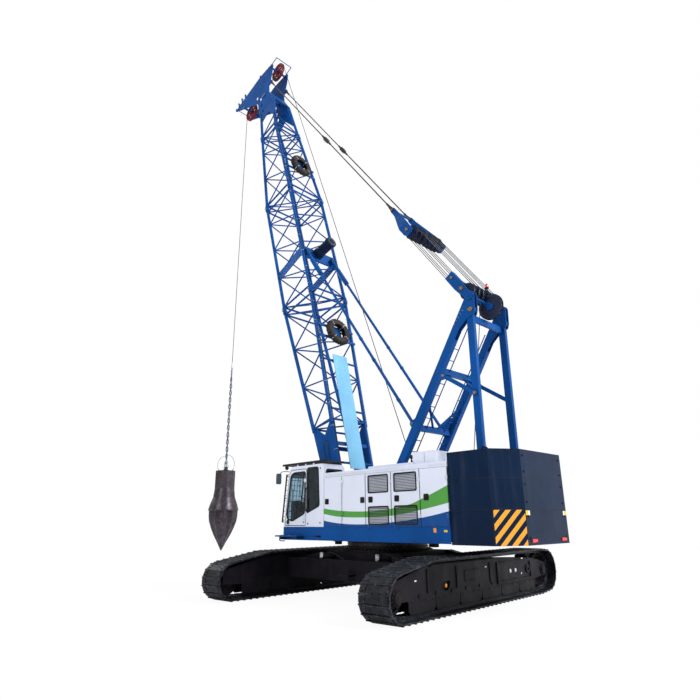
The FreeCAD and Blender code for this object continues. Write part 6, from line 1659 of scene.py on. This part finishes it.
def headParts():
    for body, node, (run, out) in headLook["sheaves"]:
        hub = bmesh.new()
        for s in (1, -1):
            face = boomPoint(run, out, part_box(node)[1].y * s)
            section = [(0, 0.056), (0, 0.078), (0.01, 0.074), (0.016, 0.06), (0.016, 0.056)]
            addBolts(hub, ringSpots(face, xWay, zWay, 0.095, 8), (0, s, 0), 0.011)
            addTurned(hub, section, face, (0, s, 0), 32)
        addPiece("hubBolts_" + node, hub, "bluePaint", body)
    # keepers on the head's three pins, and stiffener studs down its side plates
    bolts = bmesh.new()
    pins = ((hoist["rearSheave"], 0.05), (hoist["frontSheave"], 0.05), (headLook["pendantPin"], 0.08))
    for s in (1, -1):
        for (run, out), r in pins:
            spot = boomPoint(run, out, s * headLook["plateY"])
            addKeeper(bolts, spot + yWay * s * 0.004, yWay, boomOut, r * 1.5, r * 1.1, 0.01)
            addBolts(bolts, [spot + yWay * s * 0.009 + boomOut * r * 1.1 * k for k in (-1, 1)], (0, s, 0), 0.01)
        studs = [boomPoint(run, out, s * headLook["studY"]) for run, out in headLook["studs"]]
        addBolts(bolts, studs, (0, s, 0), 0.016)
    addPiece("headBolts", bolts, "boltSteel", "boom")
    base, lens = blanks(2)
    spot = boomPoint(*headLook["lampAt"])
    addKnob(base, [(0, 0.045), (0.02, 0.05), (0.03, 0.04)], spot, boomRun)
    addPiece("headLampBase", base, "trimPaint", "boom")
    addKnob(lens, [(0.03, 0.04), (0.08, 0.039), (0.115, 0.03), (0.135, 0.012)], spot, boomRun, 24, 0.138)
    addPiece("headLampLens", lens, "redLens", "boom")


def bufferParts():
    bolts = bmesh.new()
    _, side, rise = squareTo(boomOut)
    face = boomPoint(*boomLook["buffer"]) - boomOut * 0.0005
    addBolts(bolts, ringSpots(face, side, rise, 0.15, 10), -boomOut, 0.016)
    addPiece("bufferBolts", bolts, "boltSteel", "boom")


stayLook = dict(foot=(-1.68, 4.58), head=(3.15, 11.83), y=0.645, rod=0.0455, tube=0.0705, sleeve=1.5,
                lugs=(0.9, 2.6, 3.6))


def backstopParts():
    # collars, lugs and grease rings on the telescoping stays
    bore, rod = stayLook["tube"], stayLook["rod"]
    (x0, z0), (x1, z1) = stayLook["foot"], stayLook["head"]
    for side, s in (("left", 1), ("right", -1)):
        foot, head = Vector((x0, s * stayLook["y"], z0)), Vector((x1, s * stayLook["y"], z1))
        run = (head - foot).normalized()
        sleeveEnd = head - run * stayLook["sleeve"]
        rings = bmesh.new()
        for start, section in ((sleeveEnd + run * 0.01, [(0, 0.088), (0.05, 0.088), (0.06, 0.08)]),
                               (head - run * 0.3, [(0, 0.084), (0.04, 0.084)]),
                               (sleeveEnd + run * 0.09, [(0, 0.086), (0.02, 0.089), (0.82, 0.089), (0.84, 0.086)])):
            addTurned(rings, [(0, bore), *section, (section[-1][0], bore)], start, run, 28)
        addPiece("sleeveCollars_" + side, rings, "bluePaint", "backstop_outer")
        lugs = bmesh.new()
        for reach in stayLook["lugs"]:
            spot = foot + run * reach
            addTurned(lugs, [(-0.03, rod), (-0.03, 0.056), (0.03, 0.056), (0.03, rod)], spot, run, 24)
            addBar(lugs, spot + yWay * s * 0.05, spot + yWay * s * 0.095, 0.03, 0.06, run)
        addPiece("stayLugs_" + side, lugs, "bluePaint", "backstop_rods")
        caps = bmesh.new()
        for end in (-1, 1):
            spot = foot + yWay * end * 0.0755
            addRound(caps, spot, spot + yWay * end * 0.012, 0.036, 18)
        addPiece("stayPins_" + side, caps, "pinPaint")


boomParts()
fenderTyres()
headParts()
bufferParts()
backstopParts()
print("boom done")


# undercarriage: tracks, side frames and car body

# the belt runs round these discs: each one's place along the track, its height and its radius
trackLook = dict(centre=(6.42 - 0.81) / 2, shoes=82, boltsAt=(-0.36, -0.13, 0.13, 0.36), padAt=0.3, linkAt=0.105,
                 discs=((-3.0, 0.2, 0.2), (3.57, 0.5, 0.5), (2.25, 0.915, 0.3), (-3.05, 0.915, 0.3),
                        (-3.5, 0.61, 0.57)))


def beltPath():
    discs = trackLook["discs"]
    runs = []
    for (ax, az, ar), (bx, bz, br) in zip(discs, discs[1:] + discs[:1]):
        out = atan2(bz - az, bx - ax) - acos((ar - br) / hypot(bx - ax, bz - az))
        start = (ax + ar * cos(out), az + ar * sin(out))
        end = (bx + br * cos(out), bz + br * sin(out))
        runs.append((start, end, out))
    pieces = []
    for i, (start, end, out) in enumerate(runs):
        x, z, r = discs[(i + 1) % len(discs)]
        after = runs[(i + 1) % len(runs)][2]
        pieces.append(("line", dist(start, end), start, end, out))
        pieces.append(("arc", r * ((after - out) % (2 * pi)), (x, z), r, out))
    return pieces


def beltSpot(pieces, reach):
    # place on the track's outer line and the way out from it
    reach %= sum(piece[1] for piece in pieces)
    for kind, length, a, b, out in pieces:
        if reach <= length:
            break
        reach -= length
    if kind == "line":
        t = reach / length
        return (a[0] + (b[0] - a[0]) * t, a[1] + (b[1] - a[1]) * t), out
    turn = out + reach / b
    return (a[0] + cos(turn) * b, a[1] + sin(turn) * b), turn


def trackParts():
    pieces = beltPath()
    pitch = sum(piece[1] for piece in pieces) / trackLook["shoes"]
    for side, sign in (("left", 1), ("right", -1)):
        bolts, links = blanks(2)
        for i in range(trackLook["shoes"]):
            (x, z), out = beltSpot(pieces, (i + 0.5) * pitch)
            outWay = trackAlong * cos(out) + zWay * sin(out)
            along = trackAcross.cross(outWay)
            base = trackPoint(x, sign * trackLook["centre"], z)
            for c in trackLook["boltsAt"]:
                spot = base + trackAcross * c - outWay * 0.0195
                addBar(bolts, spot, spot + outWay * 0.01, 0.022, 0.022, along, 0.003)
            # raised pads at both ends of a shoe, and the link plates of the chain on the inside
            for at, sunk, long, wide, thick, chamfer in (
                    (trackLook["padAt"], 0.0195, pitch * 0.26, 0.13, 0.016, 0.005),
                    (trackLook["linkAt"], 0.1245, pitch * 0.4, 0.045, 0.018, 0.006)):
                for c in (-at, at):
                    spot = base + trackAcross * c - outWay * sunk
                    addBar(links, spot - along * long, spot + along * long, wide, thick, outWay, chamfer)
        addPiece("shoeBolts_" + side, bolts, "chassisPaint", "undercarriage")
        addPiece("shoePads_" + side, links, "trackSteel", "undercarriage")


sideLook = dict(out=0.215, ends=((3.57, 0.5), (-3.5, 0.61)), shaftZ=0.47, shafts=(-2.35, 0.64, 9),
                plate=(0.55, 0.74), ribs=(-0.35, 1.25, 2.45), dot=(1.73, 0.6), caps=((-1.75, 0.7), (-1.45, 0.7)),
                guards=6, guardX=-2.93, guardStep=1.02)
# white marks on the frame: place along, height, length, depth, and how far each stands off the frame
frameMarks = ((-2.15, 0.985, 0.1, 0.028, 0.034), (-0.15, 0.88, 0.09, 0.03, 0.002), (2.9, 0.78, 0.07, 0.03, 0.002),
              (-2.05, 0.6, 0.035, 0.05, 0.034))


def sideFrameParts():
    for side, sign in (("left", 1), ("right", -1)):
        face = sign * (trackLook["centre"] + sideLook["out"])
        outWay = trackAcross * sign
        trim, caps, dot, marks = blanks(4)

        def on(x, z, proud=0.0):
            return trackPoint(x, face, z) + outWay * proud

        for x, z in sideLook["ends"]:
            addKnob(trim, [(0, 0.17), (0.018, 0.165), (0.022, 0.13), (0.05, 0.12), (0.058, 0.1)], on(x, z, 0.0005),
                    outWay, 40)
            addBolts(trim, ringSpots(on(x, z, 0.02), trackAlong, zWay, 0.147, 10), outWay, 0.012)
        first, step, count = sideLook["shafts"]
        for i in range(count):
            # caps over the roller shafts
            addKnob(trim, [(0, 0.045), (0.016, 0.042), (0.02, 0.02)],
                    on(first + i * step, sideLook["shaftZ"], 0.0005), outWay, 20)
        # cover plate with its screws, and ribs along the cheek
        x, z = sideLook["plate"]
        addPlate(trim, roundedOutline(boxOutline(-0.35, 0.35, -0.13, 0.13), 0.05), on(x, z, 0.006), trackAlong, zWay,
                 0.012)
        addBolts(trim, [on(x + dx, z + dz, 0.012) for dx in (-0.3, -0.1, 0.1, 0.3) for dz in (-0.1, 0.1)],
                 outWay, 0.011)
        for x in sideLook["ribs"]:
            addBar(trim, on(x, 0.5, 0.012), on(x, 0.98, 0.012), 0.024, 0.06, trackAlong)
        addBar(trim, on(-0.6, 1.035, 0.014), on(2.35, 1.045, 0.014), 0.028, 0.04, zWay)
        addPiece("sideFrameTrim_" + side, trim, "chassisPaint", "undercarriage")
        for x, z, w, h, proud in frameMarks:
            addBar(marks, on(x - w / 2, z, proud), on(x + w / 2, z, proud), 0.004, h, zWay, 0.001)
        addPiece("sideFrameMarks_" + side, marks, "whitePaint", "undercarriage")
        addKnob(dot, [(0, 0.04), (0.008, 0.044), (0.016, 0.034)], on(*sideLook["dot"], 0.0005), outWay, 24, 0.02)
        addPiece("sideFrameDot_" + side, dot, "amberLens", "undercarriage")
        # guard plates hang beside the rollers on both sides of them
        guards = bmesh.new()
        outline = [(0.0, 0.245), (0.995, 0.245), (0.995, 0.0), (0.93, -0.06), (0.065, -0.06), (0.0, 0.0)]
        for away in (1, -1):
            level = sign * (trackLook["centre"] + away * (sideLook["out"] - 0.012))
            for i in range(sideLook["guards"]):
                x = sideLook["guardX"] + i * sideLook["guardStep"]
                addPlate(guards, outline, trackPoint(x, level, 0.2), trackAlong, zWay, 0.016)
                addBolts(guards, [trackPoint(x + dx, level, 0.37) + outWay * 0.0085 * away
                                  for dx in (0.12, 0.36, 0.63, 0.87)], outWay * away, 0.012)
        addPiece("rollerGuards_" + side, guards, "chassisPaint", "undercarriage")
        for x, z in sideLook["caps"]:
            addKnob(caps, [(0, 0.052), (0.02, 0.05), (0.026, 0.035)], on(x, z, 0.0005), outWay)
        addPiece("sideFrameCaps_" + side, caps, "silverCap", "undercarriage")


bodyLook = dict(ringBolts=(60, 1.215, 1.2505), wallBolts=(36, 1.1505, 1.4), cylinderX=0.72, cylinderZ=0.92,
                hoseShifts=(-0.09, -0.03, 0.03, 0.09), drive=(-3.5, 0.66, 0.61))


def ringParts():
    bolts, bands = blanks(2)
    count, r, z = bodyLook["ringBolts"]
    addBolts(bolts, ringSpots((0, 0, z), xWay, yWay, r, count), zWay, 0.02)
    count, r, z = bodyLook["wallBolts"]
    for out in ringSpots((0, 0, 0), xWay, yWay, 1, count):
        addBolt(bolts, out * r + zWay * z, out, 0.014)
    addPiece("ringBolts", bolts, "engineMetal", "undercarriage")
    for z, t in ((1.275, 0.018), (1.33, 0.012), (1.455, 0.016)):
        addTurned(bands, [(-t, 1.151), (-t, 1.174), (t, 1.174), (t, 1.151)], (0, 0, z), zWay, 96)
    addPiece("ringBands", bands, "chassisPaint", "undercarriage")


def carbodyParts():
    # cylinders and hoses between the car body and the side frames
    rods, bodies, hoses, lugs = blanks(4)
    for s in (1, -1):
        for x in (bodyLook["cylinderX"], -bodyLook["cylinderX"]):
            a, b, c = [trackPoint(x, s * across, bodyLook["cylinderZ"]) for across in (1.262, 2.02, 2.58)]
            way = (b - a).normalized()
            addRound(bodies, a, b, 0.075, 24, 0.008)
            addKnob(bodies, [(0, 0.092), (0.05, 0.092), (0.06, 0.075)], b - way * 0.05, way)
            addRound(rods, b, c, 0.042)
            for shift, high in ((0.1, 0.16), (-0.1, 0.19)):
                start = trackPoint(x + shift, s * 1.26, 1.05)
                points = [start, start + way * 0.1 + zWay * 0.02, start + way * 0.35 + zWay * 0.06,
                          b + zWay * high - way * 0.2, b + zWay * 0.13 - way * 0.05, b + zWay * 0.09 - way * 0.02]
                addTube(hoses, smoothed(points), 0.016, 8, False)
    # short cylinders on the cross beams, each with its hose
    for end in (1, -1):
        for across in (-1.15, 0.88):
            a = trackPoint(end * 1.262, across + 0.22, 1.09)
            b = trackPoint(end * 1.5, across, 1.1)
            addRound(lugs, a, b, 0.078, 24, 0.006)
            addKnob(bodies, [(0, 0.085), (0.07, 0.085), (0.08, 0.07)], b, b - a, 28)
            addBar(lugs, trackPoint(end * 1.32, across + 0.18, 1.0), trackPoint(end * 1.46, across + 0.04, 1.0), 0.16,
                   0.05, zWay, 0.006)
            points = [a + (b - a) * 0.6 + zWay * 0.05] + [trackPoint(end * x, across + y, z) for x, y, z in (
                (1.42, 0.22, 1.19), (1.5, 0.55, 1.12), (1.5, 0.85, 0.99))]
            addTube(hoses, smoothed(points), 0.02, 8, False)
    addPiece("beamCylinders", lugs, "chassisPaint", "undercarriage")
    addPiece("spreadCylinders", bodies, "silverCap", "undercarriage")
    addPiece("spreadRods", rods, "chromeRod", "undercarriage")
    # four hoses to each travel drive
    for s in (1, -1):
        for d in bodyLook["hoseShifts"]:
            path = ((-1.26, 0.45 + d, 1.0), (-1.44, 0.45 + d, 1.0), (-1.7, 0.75 + d, 0.8 + d * 0.4),
                    (-2.2, 1.35 + d, 0.7 + d * 0.6), (-2.9, 1.85, 0.72 + d), (-3.15, 2.145, 0.72 + d),
                    (-3.15, 2.245, 0.72 + d))
            addTube(hoses, smoothed([trackPoint(x, s * y, z) for x, y, z in path]), 0.017, 8, False)
    addPiece("driveHoses", hoses, "sealRubber", "undercarriage", 60)
    drive = bmesh.new()
    x, inset, z = bodyLook["drive"]
    for s in (1, -1):
        way, side, rise = squareTo(trackAcross * -s)
        face = trackPoint(x, s * (trackLook["centre"] - inset), z) + way * 0.0005
        addBolts(drive, ringSpots(face, side, rise, 0.15, 12), way, 0.012)
    addPiece("driveBolts", drive, "chassisPaint", "undercarriage")


trackParts()
sideFrameParts()
ringParts()
carbodyParts()
print("undercarriage done")


# hammer

# bands round the hammer: height and radius
hammerBands = ((2.485, 0.606), (3.36, 0.4))


def hammerParts():
    low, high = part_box("hammer")
    x = (low.x + high.x) / 2
    bm = bmesh.new()
    for z, r in hammerBands:
        bead = [(-0.016, r - 0.02), (-0.016, r + 0.004), (-0.004, r + 0.012), (0.01, r + 0.006), (0.016, r - 0.02)]
        addTurned(bm, bead, (x, 0, z), zWay, 72)
    # a stiffening collar and weld under the eye
    addTurned(bm, [(0, 0.1), (0, 0.17), (0.02, 0.165), (0.035, 0.12), (0.035, 0.1)], (x, 0, 4.071), zWay, 36)
    addPiece("hammerBands", bm, "hammerSteel", "rammer", 50)


hammerParts()
print("hammer done")
